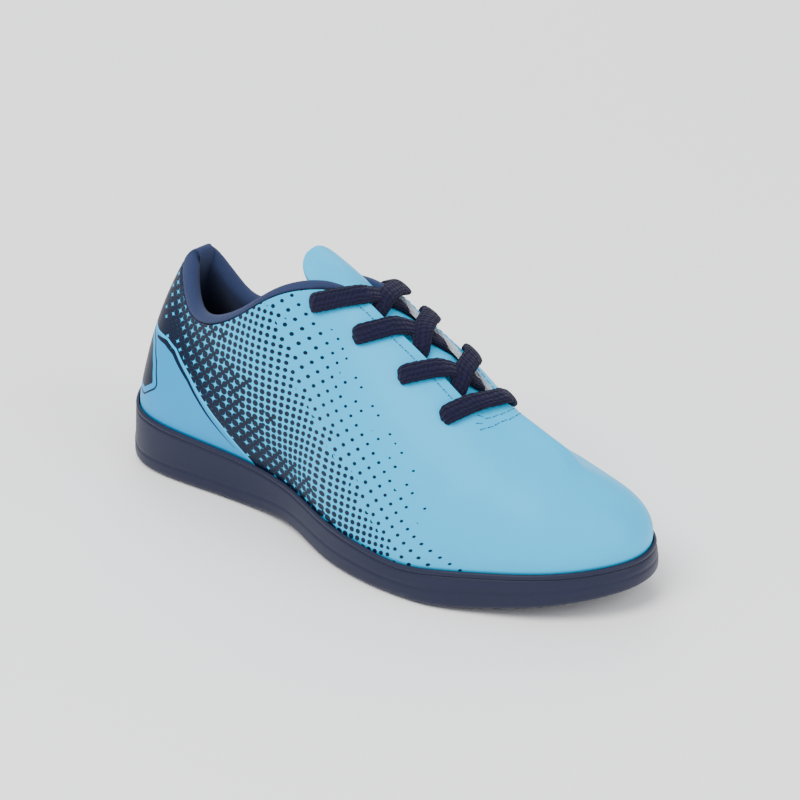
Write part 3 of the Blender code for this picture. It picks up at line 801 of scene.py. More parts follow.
def upper_finish(sizes, colours):
    """Smooth coated synthetic with a printed navy halftone and the heel counter's lines."""
    finish = Finish("upper_skin")
    strength = finish.attribute("print")
    counter = finish.attribute("counter")
    line_away = finish.attribute("counter_line").size()
    strip = finish.attribute("strip")
    rim = finish.attribute("rim")
    mottle = finish.noise(60.0, 4.0)
    base = finish.shade(colours.upper, 0.97 + mottle * 0.06)
    panel = finish.shade(colours.counter, 0.96 + mottle * 0.08)
    in_counter = counter.fade(*PRINT_EDGE)
    base = finish.blend(in_counter, base, panel)
    dotted = dots(finish, strength + (finish.noise(260.0, 2.0) - 0.5) * 0.10, sizes.dot_pitch)
    ink = dotted * (1.0 - counter.fade(*DOTS_END))
    line = (finish.attribute("taper") - line_away).fade(*PRINT_EDGE)
    band = strip.fade(*PRINT_EDGE)
    frame_line = 1.0 - (strip + FRAME_AWAY).size().fade(*FRAME_EDGE)
    ink = ink.larger(line).larger(band).larger(frame_line * counter.fade(*FRAME_START))
    worn = finish.noise(900.0, 2.0).fade(0.74, 0.80) * 0.35
    base = finish.blend(ink * (1.0 - worn), base, colours.ink)
    scuff = finish.noise(35.0, 6.0, 0.7).fade(0.62, 0.80) * (1.0 - rim.fade(4.0, 22.0))
    base = finish.blend(scuff * 0.10, base, (0.55, 0.70, 0.74))
    # Painted shade: the upper darkens towards navy along its join with the sole's rim.
    painted_join_shade = (1.0 - rim.fade(*JOIN_SHADE_HEIGHT)) * 0.35
    base = finish.blend(painted_join_shade, base, lighter(colours.ink, 1.2))
    grain = finish.noise(*SKIN_GRAIN)
    finish.set(
        Base_Color=base,
        Roughness=0.45 + (grain - 0.5) * 0.12 + scuff * 0.12,
        Coat_Weight=0.04 - ink * 0.03,
        Coat_Roughness=0.35,
        Specular_IOR_Level=0.15,
        Normal=skin_normal(finish, 190.0, 0.00022, 0.35, grain + ink * 0.8),
    )
    return finish.material


def tongue_finish(colours):
    """The upper's synthetic without its print."""
    finish = Finish("tongue_skin")
    mottle = finish.noise(70.0, 4.0)
    grain = finish.noise(*SKIN_GRAIN)
    finish.set(
        Base_Color=finish.shade(colours.upper, 0.96 + mottle * 0.08),
        Roughness=0.47 + (grain - 0.5) * 0.12,
        Coat_Weight=0.05,
        Coat_Roughness=0.35,
        Specular_IOR_Level=0.30,
        Normal=skin_normal(finish, 160.0, 0.00030, 0.4, grain),
    )
    return finish.material


def weave(finish, along, across, pitch):
    """Height of a plain weave: threads go over and under each other, a pitch apart."""
    warp = (along * (math.pi / pitch)).sine()
    weft = (across * (math.pi / pitch)).sine()
    return warp * weft


def cloth_finish(name, tint, pitch, sheen=0.18, threads_depth=0.14):
    """Knitted or woven cloth with loops, stray fibres and a soft bloom, and painted shade in the
    weave's hollows.
    """
    finish = Finish(name)
    x, y, z = finish.parts(finish.place(), "XYZ")
    threads = weave(finish, x + y, z, pitch) + weave(finish, x - y, x + z, pitch * 1.3) * 0.6
    fuzz = finish.noise(3200.0, 4.0, 0.7)
    shadow = finish.noise(55.0, 3.0)
    # The weave's raised threads are lighter and its hollows darker: painted shade in the hollows; the
    # shadow noise adds broad soft patches of painted shade.
    tone = 0.82 + threads * threads_depth + fuzz * 0.18 + (shadow - 0.5) * 0.20
    normal = finish.bump(threads, 0.0016 * threads_depth, 0.6)
    normal = finish.bump(fuzz, 0.00012, 0.5, normal)
    finish.set(
        Base_Color=finish.shade(tint, tone),
        Roughness=0.86 + fuzz * 0.10,
        Sheen_Weight=sheen,
        Sheen_Roughness=0.5,
        Specular_IOR_Level=0.25,
        Normal=normal,
    )
    return finish.material


def rubber_finish(colours):
    """Moulded rubber: fine spark texture, a satin face, and dust on the lowest edge."""
    finish = Finish("sole_rubber")
    height, = finish.parts(finish.place(), "Z")
    spark = finish.noise(1900.0, 4.0, 0.65)
    flow = finish.noise(45.0, 4.0)
    dust = (1.0 - height.fade(0.0004, 0.0035)) * finish.noise(160.0, 5.0, 0.7).fade(0.35, 0.75)
    marks = finish.noise(90.0, 6.0, 0.75).fade(0.66, 0.82)
    base = finish.shade(colours.rubber, 0.90 + flow * 0.20 + (spark - 0.5) * 0.25)
    base = finish.blend(dust * 0.22 + marks * 0.06, base, (0.20, 0.20, 0.22))
    normal = finish.bump(spark, 0.00010, 0.45)
    finish.set(
        Base_Color=base,
        Roughness=0.50 + (flow - 0.5) * 0.14 + dust * 0.25,
        Specular_IOR_Level=0.26,
        Normal=normal,
    )
    return finish.material


def lace_finish(sizes, colours):
    """Flat braid: wavy yarns side by side along its length, with stray fibres and painted shade in the
    grooves between the yarns.
    """
    finish = Finish("lace_braid")
    along, across = finish.parts(finish.uv(), "XY")
    wander = finish.noise(1.0, 2.0, where=finish.vector(along * 420.0, across * 9.0))
    yarns = (across * (math.pi * 26.0) + wander * 7.0).sine()
    slant = (across - 0.5).size() * sizes.lace_width * 1.4
    ribs = ((along + slant) * (math.pi / 0.00075) + wander * 4.0).sine()
    fuzz = finish.noise(2600.0, 5.0, 0.75)
    yarn = yarns * 0.62 + ribs * 0.30
    # The yarns' crests are lighter and the grooves between them darker: painted shade in the braid's
    # grooves.
    tone = 0.62 + yarn * 0.26 + fuzz * 0.62
    normal = finish.bump(yarn, 0.00034, 0.9)
    normal = finish.bump(fuzz, 0.00026, 0.8, normal)
    finish.set(
        Base_Color=finish.shade(colours.lace, tone),
        Roughness=0.84 + fuzz * 0.12,
        Sheen_Weight=0.05,
        Sheen_Roughness=0.45,
        Specular_IOR_Level=0.12,
        Normal=normal,
    )
    return finish.material


def thread_finish(name, tint):
    finish = Finish(name)
    twist = finish.noise(5200.0, 2.0)
    finish.set(
        Base_Color=finish.shade(tint, 0.80 + twist * 0.40),
        Roughness=0.55 + twist * 0.15,
        Normal=finish.bump(twist, 0.00008, 0.5),
    )
    return finish.material


def floor_finish(colours):
    finish = Finish("studio_floor")
    cloud = finish.noise(3.0, 3.0)
    finish.set(
        Base_Color=finish.shade(colours.floor, 0.995 + cloud * 0.01),
        Roughness=0.9 + cloud * 0.04,
        Specular_IOR_Level=0.1,
    )
    return finish.material


# Upper

COUNTER_EDGE = (
    (-5, 24.3), (18.7, 24.3), (27.0, 25.6), (33.7, 24.6), (44.1, 19.6), (51.8, 14.5), (61.5, 8.7),
    (68.3, 3.6), (79.0, -4.0),
)
COUNTER_LINE = ((20.0, 23.4), (27.0, 24.8), (33.3, 23.8), (44.4, 18.3), (54.7, 10.9), (67.5, 2.3))
LINE_TAPER = (
    (19.0, -0.60), (20.0, 0.40), (27.0, 0.85), (33.0, 0.75), (44.0, 0.55), (56.0, 0.38), (67.0, 0.08),
    (68.0, -0.60),
)
STRIP_EDGE = (
    (-5, 21.5), (14.0, 21.3), (19.8, 19.8), (25.9, 15.8), (29.7, 11.1), (25.4, 7.5), (12.0, 6.2),
    (-5, 6.0),
)
PrintLine = namedtuple("PrintLine", "up dark sparse end")
PRINT_LINES = (
    PrintLine(0, 120, 156, 183),
    PrintLine(5, 110, 149, 180),
    PrintLine(12, 89, 137, 175),
    PrintLine(20, 77, 130, 169),
    PrintLine(28, 68, 116, 161),
    PrintLine(36, 51, 98, 150),
    PrintLine(45, 38, 94, 137),
    PrintLine(55, 28, 88, 122),
    PrintLine(65, 20, 80, 103),
)
SOLID_PRINT = 0.95
DARK_PRINT = 0.60
SPARSE_PRINT = 0.28
LAST_PRINT = 0.03
DARK_BAND = 50.0

Crease = namedtuple("Crease", "side from_along from_up to_along to_up width depth")
CREASES = (
    Crease(1, 55, 20, 92, 34, 11.0, 0.55),
    Crease(1, 150, 14, 160, 44, 4.5, 0.28),
    Crease(1, 158, 12, 172, 34, 4.0, 0.20),
    Crease(1, 104, 22, 128, 50, 8.0, 0.25),
    Crease(1, 20, 12, 48, 8, 6.0, 0.15),
    Crease(-1, 50, 18, 90, 30, 11.0, 0.55),
    Crease(-1, 148, 12, 160, 38, 4.5, 0.32),
    Crease(-1, 160, 10, 176, 30, 4.0, 0.22),
    Crease(-1, 100, 16, 124, 44, 8.0, 0.30),
)


def relief(places):
    """Depth of the soft troughs over the upper, in millimetres."""
    depth = np.zeros(places.shape[:-1])
    for crease in CREASES:
        start = (crease.side * crease.from_along, crease.from_up)
        end = (crease.side * crease.to_along, crease.to_up)
        away = stretch_distance(places, start, end)[0]
        depth += crease.depth * np.exp(-(away / crease.width) ** 2)
    return depth


def upper_places():
    """Knot, ridge row and column number of each grid point, hem over ridge to hem."""
    half = SKIRT_COLUMNS + WALL_COLUMNS + TOP_COLUMNS
    side_columns = np.concatenate([np.arange(half + 1), np.arange(half)[::-1]])
    medial = np.arange(2 * half + 1) > half
    body_rows, body_columns = np.meshgrid(UPPER_ROWS, side_columns, indexing="ij")
    body_knots = knot_of(body_rows, medial[None, :])
    body_ridge = np.maximum(body_rows, THROAT_ROW)
    along, across = np.meshgrid(np.arange(1, half + 1), np.arange(-half, half + 1), indexing="ij")
    ring = np.maximum(np.abs(across), along)
    turn = np.where(along < ring, np.where(across < 0, along, 4 * ring - along), 2 * ring + across)
    start = knot_of(TOE_ROW)
    end = knot_of(TOE_ROW, True)
    toe_knots = start + (end - start) * turn / (4 * ring)
    knots = np.concatenate([body_knots, toe_knots])
    ridge = np.concatenate([body_ridge, np.full(toe_knots.shape, float(TOE_ROW))])
    columns = np.concatenate([body_columns, half - ring])
    return knots, ridge, columns


def print_strength(along, up):
    """Strength of the halftone: it falls from the heel over three slanted lines."""
    dark, sparse, end = read_table(PRINT_LINES, up)
    solid = DARK_PRINT + (SOLID_PRINT - DARK_PRINT) * np.clip((dark - along) / DARK_BAND, 0, 1)
    middle = DARK_PRINT + (SPARSE_PRINT - DARK_PRINT) * (along - dark) / (sparse - dark)
    last = SPARSE_PRINT + (LAST_PRINT - SPARSE_PRINT) * (along - sparse) / (end - sparse)
    return np.where(along < dark, solid, np.where(along < sparse, middle, np.maximum(last, 0.0)))


def lengths_up(points, columns):
    """Length of the way up from the rim for each point of the grid, in millimetres."""
    half = points.shape[1] // 2
    steps = np.linalg.norm(np.diff(points, axis=1), axis=-1) / MILLIMETRE
    start = np.zeros((points.shape[0], 1))
    lateral = np.concatenate([start, np.cumsum(steps[:, :half], axis=1)], axis=1)
    medial = np.cumsum(steps[:, half:][:, ::-1], axis=1)[:, ::-1]
    up = np.concatenate([lateral[:, :half + 1], medial[:, 1:], start], axis=1)
    return up - (LIP_DEPTH - GAP) / MILLIMETRE


def upper_fields(knots, columns, points):
    """Numbers that the finish reads at each point: place, print, and distances to the lines."""
    along = length_along(knots)
    body = len(UPPER_ROWS)
    up = np.zeros(knots.shape)
    up[:body] = lengths_up(points[:body], columns[:body])
    wall = np.clip(columns[body:] - SKIRT_COLUMNS, 0, None) / WALL_COLUMNS
    toe_height = np.linalg.norm(EDGE_LOOP.at(knots[body:]) - wall_point(knots[body:], 0.0), axis=-1)
    up[body:] = wall * toe_height / MILLIMETRE
    places = np.stack([np.abs(along), up], -1)
    return {
        "along": along,
        "rim": up,
        "print": print_strength(places[..., 0], places[..., 1]),
        "counter": line_distance(places, COUNTER_EDGE),
        "counter_line": line_distance(places, COUNTER_LINE),
        "taper": read_table(LINE_TAPER, places[..., 0])[0],
        "strip": line_distance(places, STRIP_EDGE),
    }


BACKED_ROW = 5.0
EDGE_ROUND = 0.00045
EDGE_ANGLE = math.radians(60)


def mark_upper(bm, fields):
    """Lay the surface's place and numbers on the mesh, and name the backed part of the flaps."""
    places = np.stack([fields["along"], fields["rim"]], -1).reshape(-1, 2)
    lay_uv(bm, "Surface", places * MILLIMETRE)
    backed_from = float(length_along(knot_of(BACKED_ROW)))
    for face in bm.faces:
        if abs(places[face.verts[0].index, 0]) > backed_from:
            face.material_index = 2
    for name, values in fields.items():
        layer = bm.verts.layers.float.new(name)
        for vertex, value in zip(bm.verts, values.ravel()):
            vertex[layer] = value


def open_throat(bm, side_columns):
    """Take away the grid between the flaps and over the foot's opening."""
    bm.verts.ensure_lookup_table()
    wall = SKIRT_COLUMNS + WALL_COLUMNS
    opening = []
    for row in range(THROAT_ROW * ROW_STEPS):
        for column in range(wall + 1, side_columns - wall - 1):
            opening.append(bm.verts[row * side_columns + column])
    bmesh.ops.delete(bm, geom=opening, context="VERTS")
    bmesh.ops.remove_doubles(bm, verts=bm.verts, dist=WELD)
    bmesh.ops.recalc_face_normals(bm, faces=bm.faces)


def press_creases(bm):
    """Press the soft troughs into the outer face."""
    bm.normal_update()
    along = bm.verts.layers.float["along"]
    rim = bm.verts.layers.float["rim"]
    spots = np.array([(vertex[along], vertex[rim]) for vertex in bm.verts])
    normals = [vertex.normal.copy() for vertex in bm.verts]
    for vertex, normal, depth in zip(bm.verts, normals, relief(spots)):
        vertex.co -= normal * float(depth) * MILLIMETRE


def build_upper(sizes, colours):
    knots, ridge, columns = upper_places()
    points = upper_surface(knots, ridge, columns)
    bm = grid(points)
    mark_upper(bm, upper_fields(knots, columns, points))
    open_throat(bm, points.shape[1])
    press_creases(bm)
    skin = upper_finish(sizes, colours)
    lining = cloth_finish("inner_lining", colours.lining, 0.0009)
    backing = cloth_finish("flap_backing", colours.backing, 0.0007)
    upper = finish_piece("upper_skin", bm, skin, lining, skin, backing)
    modify(
        upper, "Wall", "SOLIDIFY", thickness=sizes.upper_wall, offset=-1.0, use_even_offset=True,
        material_offset=1, material_offset_rim=1)
    modify(
        upper, "Edges", "BEVEL", width=EDGE_ROUND, segments=2, limit_method="ANGLE",
        angle_limit=EDGE_ANGLE)
    settle(upper)
    cut_away(upper, eyelet_pins(sizes), 50)
    hand_over(upper, "upper", "upper")


PIN_SIDES = 20
PIN_WALLS = 4


def eyelet_pins(sizes):
    """Pins square to the wall at each eyelet of both flaps."""
    bm = bmesh.new()
    for eyelet in EYELETS:
        for medial in (False, True):
            knot = knot_of(eyelet.row, medial)
            centre = wall_point(knot, eyelet.height)
            axis = inward(knot, eyelet.height)
            across = unit(np.cross(axis, UP))
            third = np.cross(axis, across)
            radius = sizes.eyelet_radius
            pin = bmesh.ops.create_cone(
                bm, cap_ends=True, segments=PIN_SIDES, radius1=radius, radius2=radius,
                depth=sizes.upper_wall * PIN_WALLS)
            turn = np.transpose([across, third, axis])
            for vertex in pin["verts"]:
                vertex.co = centre + turn @ np.array(vertex.co)
    bmesh.ops.recalc_face_normals(bm, faces=bm.faces)
    return finish_piece("eyelet_pins", bm)


# Sole

def bottom_height(x):
    """Height of the sole's underside: flat at heel and ball, arched between, sprung at the toe."""
    along = (np.asarray(x, float) + HEEL_CENTRE) / LENGTH
    heel = np.maximum(0.0, 1 - along / FLOOR.heel_flat) ** BEVEL_CURVE * HEEL_BEVEL
    arch = np.clip((along - FLOOR.arch_from) / (FLOOR.arch_to - FLOOR.arch_from), 0, 1)
    toe = np.maximum(0.0, (along - FLOOR.toe_flat) / (1 - FLOOR.toe_flat)) ** SPRING_CURVE * TOE_SPRING
    return heel + np.sin(math.pi * arch) ** 2 * ARCH_RISE + toe


BEVEL_DEPTH = 0.0022
BEVEL_STEPS = 7

SidePoint = namedtuple("SidePoint", "inset above")
SIDE_BAND = (
    SidePoint(0.00000, -0.00120),
    SidePoint(0.00004, -0.00045),
    SidePoint(0.00026, -0.00012),
    SidePoint(0.00032, 0.00012),
    SidePoint(0.00022, 0.00045),
    SidePoint(0.00030, 0.00160),
)
SideLine = namedtuple("SideLine", "along share")
SIDE_LINE = (
    SideLine(0.00, 0.40), SideLine(0.08, 0.26), SideLine(0.30, 0.32), SideLine(0.50, 0.46),
    SideLine(1.00, 0.50),
)
BeadPoint = namedtuple("BeadPoint", "inset drop")
RIM_BEAD = (
    BeadPoint(0.00060, 0.00290),
    BeadPoint(0.00070, 0.00215),
    BeadPoint(0.00100, 0.00195),
    BeadPoint(0.00070, 0.00165),
    BeadPoint(0.00060, 0.00110),
    BeadPoint(0.00075, 0.00050),
    BeadPoint(0.00110, 0.00015),
    BeadPoint(0.00150, 0.00010),
)


def sole_half(knot):
    """Half sections of the cup sole, from the bottom edge over the rim and down to the ledge."""
    rim = RIM_LOOP.at(knot)
    forward_place = OUTLINE.at(knot)[..., 0]
    low = bottom_height(forward_place)
    line = read_table(SIDE_LINE, (forward_place + HEEL_CENTRE) / LENGTH)[0]
    points = []
    for angle in np.linspace(0, math.pi / 2, BEVEL_STEPS):
        rise = BEVEL_DEPTH * (1 - math.cos(angle))
        points.append(outline_point(knot, FOOT_BEVEL * (1 - math.sin(angle)), low + rise))
    for point in SIDE_BAND:
        points.append(outline_point(knot, point.inset, low + line * (rim - low) + point.above))
    for point in RIM_BEAD:
        points.append(outline_point(knot, point.inset, rim - point.drop))
    lip = UPPER_INSET - GAP
    points.append(outline_point(knot, lip, rim - 2 * GAP))
    points.append(outline_point(knot, lip, rim - LIP_DEPTH))
    return np.stack(points, axis=-2)


def whole_sections(half):
    """Closed sections from heel to toe, each made of its lateral and its medial half."""
    lateral = half(knot_of(SOLE_ROWS))
    sections = np.concatenate([lateral, half(knot_of(SOLE_ROWS, True))[:, ::-1]], axis=1)
    return np.concatenate([sections, sections[:, :1]], axis=1)


def tread_prism(bm, corners):
    """Closed bar between eight corners, moved from a cube's own."""
    cube = bmesh.ops.create_cube(bm, size=1.0)["verts"]
    cube = sorted(cube, key=lambda vertex: (vertex.co.y, vertex.co.z, vertex.co.x))
    for vertex, corner in zip(cube, corners):
        vertex.co = corner


def tread_places():
    """Middles of the grooves under the heel and under the ball and toe, a pitch apart."""
    heel = [(i + 0.5) * TREAD_PITCH for i in range(-HEEL_GROOVES, HEEL_GROOVES)]
    first = forward(FLOOR.arch_to) + TREAD_PITCH
    last = forward(1.0) - 2 * TREAD_PITCH
    return heel + list(np.arange(first, last, TREAD_PITCH))


def tread_bars():
    """Cutters of slanted grooves on both sides of the sole's spine."""
    bm = bmesh.new()
    inner = TREAD_SPINE / 2
    for side in (-1, 1):
        outline = OUTLINE.at(knot_of(SOLE_ROWS, side > 0))
        for x in tread_places():
            outer = float(np.interp(x, outline[:, 0], np.abs(outline[:, 1]))) - TREAD_BAND
            if outer < inner + TREAD_WIDTH:
                continue
            corners = []
            for y, shift in ((inner, 0.0), (outer, TREAD_SLANT)):
                for above in (-TREAD_DEPTH, TREAD_DEPTH):
                    for edge in (-0.5, 0.5):
                        across = x - shift + edge * TREAD_WIDTH
                        corners.append((across, side * y, float(bottom_height(across)) + above))
            tread_prism(bm, corners)
    bmesh.ops.recalc_face_normals(bm, faces=bm.faces)
    return finish_piece("tread_bars", bm)


def build_sole(colours):
    bm = grid(whole_sections(sole_half))
    close_up(bm)
    sole = finish_piece("outsole_rubber", bm, rubber_finish(colours), sharp=60)
    cut_away(sole, tread_bars(), 60)
    hand_over(sole, "outsole", "outsole")


InsolePoint = namedtuple("InsolePoint", "inset height")
INSOLE_SIDE = (
    InsolePoint(0.00, 0.0),
    InsolePoint(0.00, 0.4),
    InsolePoint(0.05, 0.8),
    InsolePoint(0.30, 1.0),
    InsolePoint(1.00, 1.0),
)


def build_insole(sizes, colours):
    def half(knot):
        inset = UPPER_INSET + sizes.upper_wall + GAP
        floor = RIM_LOOP.at(knot) - LIP_DEPTH + GAP
        points = []
        for point in INSOLE_SIDE:
            side = inset + INSOLE_THICKNESS * point.inset
            points.append(outline_point(knot, side, floor + INSOLE_THICKNESS * point.height))
        return np.stack(points, axis=-2)

    bm = grid(whole_sections(half))
    close_up(bm)
    insole = finish_piece("insole_sock", bm, cloth_finish("insole_cloth", colours.lining, 0.0011))
    hand_over(insole, "insole", "insole")


# Collar: a padded roll over the upper's edge that runs down its inner face

CollarPoint = namedtuple("CollarPoint", "rise width")
COLLAR_TOP = (
    CollarPoint(0.45, -0.02),
    CollarPoint(0.85, 0.10),
    CollarPoint(1.00, 0.35),
    CollarPoint(0.95, 0.65),
    CollarPoint(0.60, 0.92),
    CollarPoint(0.00, 1.00),
)
CollarSide = namedtuple("CollarSide", "depth width")
COLLAR_SIDE = (CollarSide(0.30, 1.00), CollarSide(0.62, 0.80), CollarSide(0.86, 0.45))
COLLAR_BACK = (1.0, 0.75, 0.5, 0.25)
CollarPad = namedtuple("CollarPad", "row thickness roll depth")
COLLAR_PADS = (
    CollarPad(0, COLLAR_PAD_HEEL, 2.20, 1.0),
    CollarPad(1, COLLAR_PAD_BACK, 1.80, 1.0),
    CollarPad(1.5, COLLAR_PAD_BACK, 2.05, 1.0),
    CollarPad(2, COLLAR_PAD_BACK, 1.50, 1.0),
    CollarPad(2.5, COLLAR_PAD_SIDE, 1.15, 1.0),
    CollarPad(3.2, COLLAR_PAD_SIDE, 1.0, 1.0),
    CollarPad(4, COLLAR_PAD_SIDE, 1.0, 1.0),
    CollarPad(5, COLLAR_PAD_FRONT, 1.0, 1.0),
    CollarPad(5.4, 0.0006, 0.95, 0.3),
    CollarPad(5.9, 0.0001, 0.55, 0.14),
)
COLLAR_ROW = COLLAR_PADS[-1].row


def collar_sections(rows, sizes):
    knot = signed_knot(rows)
    edge = wall_point(knot, np.ones(knot.shape))
    rising = edge_direction(knot)
    level = inward(knot, np.ones(knot.shape))
    pad, roll, depth = read_table(COLLAR_PADS, np.abs(rows))
    hem = COLLAR_HEM * np.minimum(roll, 1.0)
    reach_down = COLLAR_DEPTH * depth
    inner = sizes.upper_wall + 2 * GAP
    reach = np.linalg.norm(edge - wall_point(knot, np.zeros(knot.shape)), axis=-1)

    def beside(depth, inset):
        height = 1 - depth / reach
        return wall_point(knot, height) + inward(knot, height) * np.asarray(inset)[..., None]

    section = [edge + rising * GAP]
    for point in COLLAR_TOP:
        up = rising * (point.rise * COLLAR_ROLL * roll)[:, None]
        section.append(edge + up + level * (point.width * (inner + pad))[:, None])
    for point in COLLAR_SIDE:
        section.append(beside(point.depth * reach_down, inner + hem + point.width * (pad - hem)))
    section.append(beside(reach_down, inner + hem))
    for share in COLLAR_BACK:
        section.append(beside(share * reach_down, np.full(knot.shape, inner)))
    section.append(edge + rising * GAP + level * inner)
    section.append(section[0])
    return np.stack(section, axis=1)


def build_collar(sizes, colours):
    rows = stations(-COLLAR_ROW, COLLAR_ROW, COLLAR_STEPS)
    bm = grid(collar_sections(rows, sizes))
    close_up(bm)
    cloth = cloth_finish("collar_cloth", colours.lining, 0.0005, sheen=0.06, threads_depth=0.05)
    collar = finish_piece("collar_padding", bm, cloth, sharp=180)
    rounded(collar)
    settle(collar)
    hand_over(collar, "collar_lining", "collar_lining")


# Tongue: a sheet under the flaps that stands free above the throat

FLAP_COLUMNS = 4
FLAP_COVER = 0.25
TONGUE_GAP = 3 * GAP
TONGUE_MIDDLE = 13


def throat_point(row, across, inset):
    """Point between the two flaps: across runs from the lateral edge (0) to the medial (1)."""
    lateral = knot_of(row)
    medial = knot_of(row, True)
    start = EDGE_LOOP.at(lateral) + inward(lateral, 1.0) * inset
    end = EDGE_LOOP.at(medial) + inward(medial, 1.0) * inset
    crown = np.array([0.0, 0.0, math.sin(math.pi * across) * TONGUE_CROWN])
    return start * (1 - across) + end * across + crown


def tongue_row(row, sizes):
    """Outer face of the tongue at one station, from under one flap to under the other."""
    inset = sizes.upper_wall + TONGUE_GAP
    sides = []
    for medial in (False, True):
        knot = knot_of(row, medial)
        flap = []
        for column in range(FLAP_COLUMNS, 0, -1):
            height = 1 - FLAP_COVER * column / FLAP_COLUMNS
            flap.append(wall_point(knot, height) + inward(knot, height) * inset)
        sides.append(flap)
    shares = np.linspace(0, 1, TONGUE_MIDDLE)
    if row > THROAT_ROW:
        lateral = knot_of(row)
        medial = knot_of(row, True)
        down = unit(inward(lateral, 1.0) + inward(medial, 1.0)) * inset * VAMP_CLEARANCE
        middle = [top_point(lateral, row, 2 * share) + down for share in shares if share <= 0.5]
        middle += [top_point(medial, row, 2 - 2 * share) + down for share in shares if share > 0.5]
    else:
        middle = [throat_point(row, share, inset) for share in shares]
    return sides[0] + middle + sides[1][::-1]


def tongue_points(sizes):
    first, last = TONGUE_ROWS
    count = int((first - last) * TONGUE_STEPS)
    rows = [tongue_row(first - i / TONGUE_STEPS, sizes) for i in range(count + 1)]
    base = rows[-1]
    width = len(base)
    root = base[width // 2]
    for flap in TONGUE_END:
        share = flap.reach
        centre = root + np.array([-TONGUE_REACH * share, 0.0, TONGUE_LIFT * share ** TONGUE_CURVE])
        line = []
        for i in range(width):
            q = 2 * i / (width - 1) - 1
            droop = TONGUE_DROOP_MEDIAL if q > 0 else TONGUE_DROOP_LATERAL
            drop = droop * (abs(q) * flap.width_share) ** TONGUE_ARCH
            line.append(centre + np.array([0.0, q * TONGUE_HALF_WIDTH * flap.width_share, -drop]))
        rows.append(line)
    return np.array(rows)


def build_tongue(sizes, colours):
    bm = grid(tongue_points(sizes))
    bmesh.ops.recalc_face_normals(bm, faces=bm.faces)
    if sum(face.normal.z for face in bm.faces) < 0:
        bmesh.ops.reverse_faces(bm, faces=bm.faces)
    skin = tongue_finish(colours)
    lining = cloth_finish("tongue_lining", colours.lining, 0.0009)
    tongue = finish_piece("tongue_pad", bm, skin, lining)
    modify(
        tongue, "Thickness", "SOLIDIFY", thickness=sizes.tongue_thickness, offset=-1.0,
        material_offset=1)
    rounded(tongue)
    settle(tongue, 60)
    hand_over(tongue, "tongue", "tongue")


# Laces: one flat lace that crosses the throat and goes down through the eyelets

LacePoint = namedtuple("LacePoint", "place out width thickness")
LACE_SIDES = 24
LACE_RING = 0.0006
UNDER_THICKNESS = 0.0009
BRAID_DEPTH = 0.00007

Crossing = namedtuple("Crossing", "exit_row edge_row")
CROSSINGS = (Crossing(8.60, 8.10), Crossing(7.75, 7.32), Crossing(6.85, 6.20))
BAR_ROW = 9.08
BAR_ROWS = (9.28, 9.34, 9.24)
BAR_SHARES = (0.25, 0.5, 0.75)
BAR_LIFT = 0.0005
CROSSING_LIFT = 0.0004
FLAP_BEND = 0.06
UNDER_SHARES = (0.35, 0.7, 1.0)
UNDER_WIDTH = 0.9
THROAT_LIFT = 0.3
BROAD_ROUND = 0.8
FLAT_ROUND = 0.75
BRAID_LENGTH = 0.0012
BRAID_SLANT = 3

Waypoint = namedtuple("Waypoint", "share across lift rise width")
STRAND = (
    Waypoint(0.04, 0.13, 0.0, 0.0, 0.85),
    Waypoint(0.40, 0.42, 1.0, 0.2, 1.0),
    Waypoint(0.75, 0.76, 0.7, 1.1, 1.0),
)
OVER_LIFT = 0.85
LIFT_AT_EDGE = 0.25

Plunge = namedtuple("Plunge", "ahead depth width thickness turn")
PLUNGE = (
    Plunge(-0.0034, -0.0016, 1.00, 1.00, 0.0),
    Plunge(-0.0010, -0.0015, 1.00, 1.00, 0.1),
    Plunge(0.0004, -0.0005, 0.88, 0.95, 0.7),
    Plunge(0.0004, 0.0008, 0.56, 0.85, 1.0),
    Plunge(0.0000, 0.0025, 0.52, 0.50, 1.0),
)


def flap_point(row, medial, height, lift, sizes):
    """Middle of the lace over a flap's outer face."""
    knot = knot_of(row, medial)
    out = -inward(knot, height)
    place = wall_point(knot, height) + out * (sizes.lace_thickness / 2 + lift)
    return LacePoint(place, out, sizes.lace_width, sizes.lace_thickness)


def hole_points(eyelet, medial, edge_row, sizes):
    """Rounded end of a run over the flap's edge at one row, and the way down its eyelet."""
    knot = knot_of(eyelet.row, medial)
    centre = wall_point(knot, eyelet.height)
    axis = inward(knot, eyelet.height)
    way = centre - wall_point(knot_of(edge_row, medial), 1.0)
    way = unit(way - axis * (way @ axis))
    points = []
    for step in PLUNGE:
        place = centre + way * step.ahead + axis * step.depth
        out = way * step.turn - axis * (1 - step.turn)
        width = sizes.lace_width * step.width
        points.append(LacePoint(place, out, width, sizes.lace_thickness * step.thickness))
    return points


def under_points(eyelet, medial, exit_row, sizes):
    """Way under the flap from an eyelet to the flap's edge."""
    points = []
    for share in UNDER_SHARES:
        row = eyelet.row + (exit_row - eyelet.row) * share
        height = eyelet.height + (1.0 - eyelet.height) * share
        knot = knot_of(row, medial)
        axis = inward(knot, height)
        place = wall_point(knot, height) + axis * (sizes.upper_wall + UNDER_THICKNESS / 2)
        points.append(LacePoint(place, axis, sizes.lace_width * UNDER_WIDTH, UNDER_THICKNESS))
    return points


def throat_normal(row, across):
    """Way up from the throat, between the outward directions of the two flaps."""
    lateral = -inward(knot_of(row), 1.0)
    medial = -inward(knot_of(row, True), 1.0)
    return unit(lateral * (1 - across) + medial * across + UP * THROAT_LIFT)


def vamp_point(row, across):
    """Outer face of the vamp, across from the lateral edge curve (0) to the medial one (1)."""
    knot = knot_of(row, across > 0.5)
    share = 2 * min(across, 1 - across)
    return wall_point(knot, 1 + share) if share < 0 else top_point(knot, row, share)


def over_throat(row, across, height, width, sizes):
    """Middle of the lace at a height above the tongue."""
    place = throat_point(row, across, sizes.upper_wall + TONGUE_GAP - height)
    return LacePoint(place, throat_normal(row, across), sizes.lace_width * width, sizes.lace_thickness)


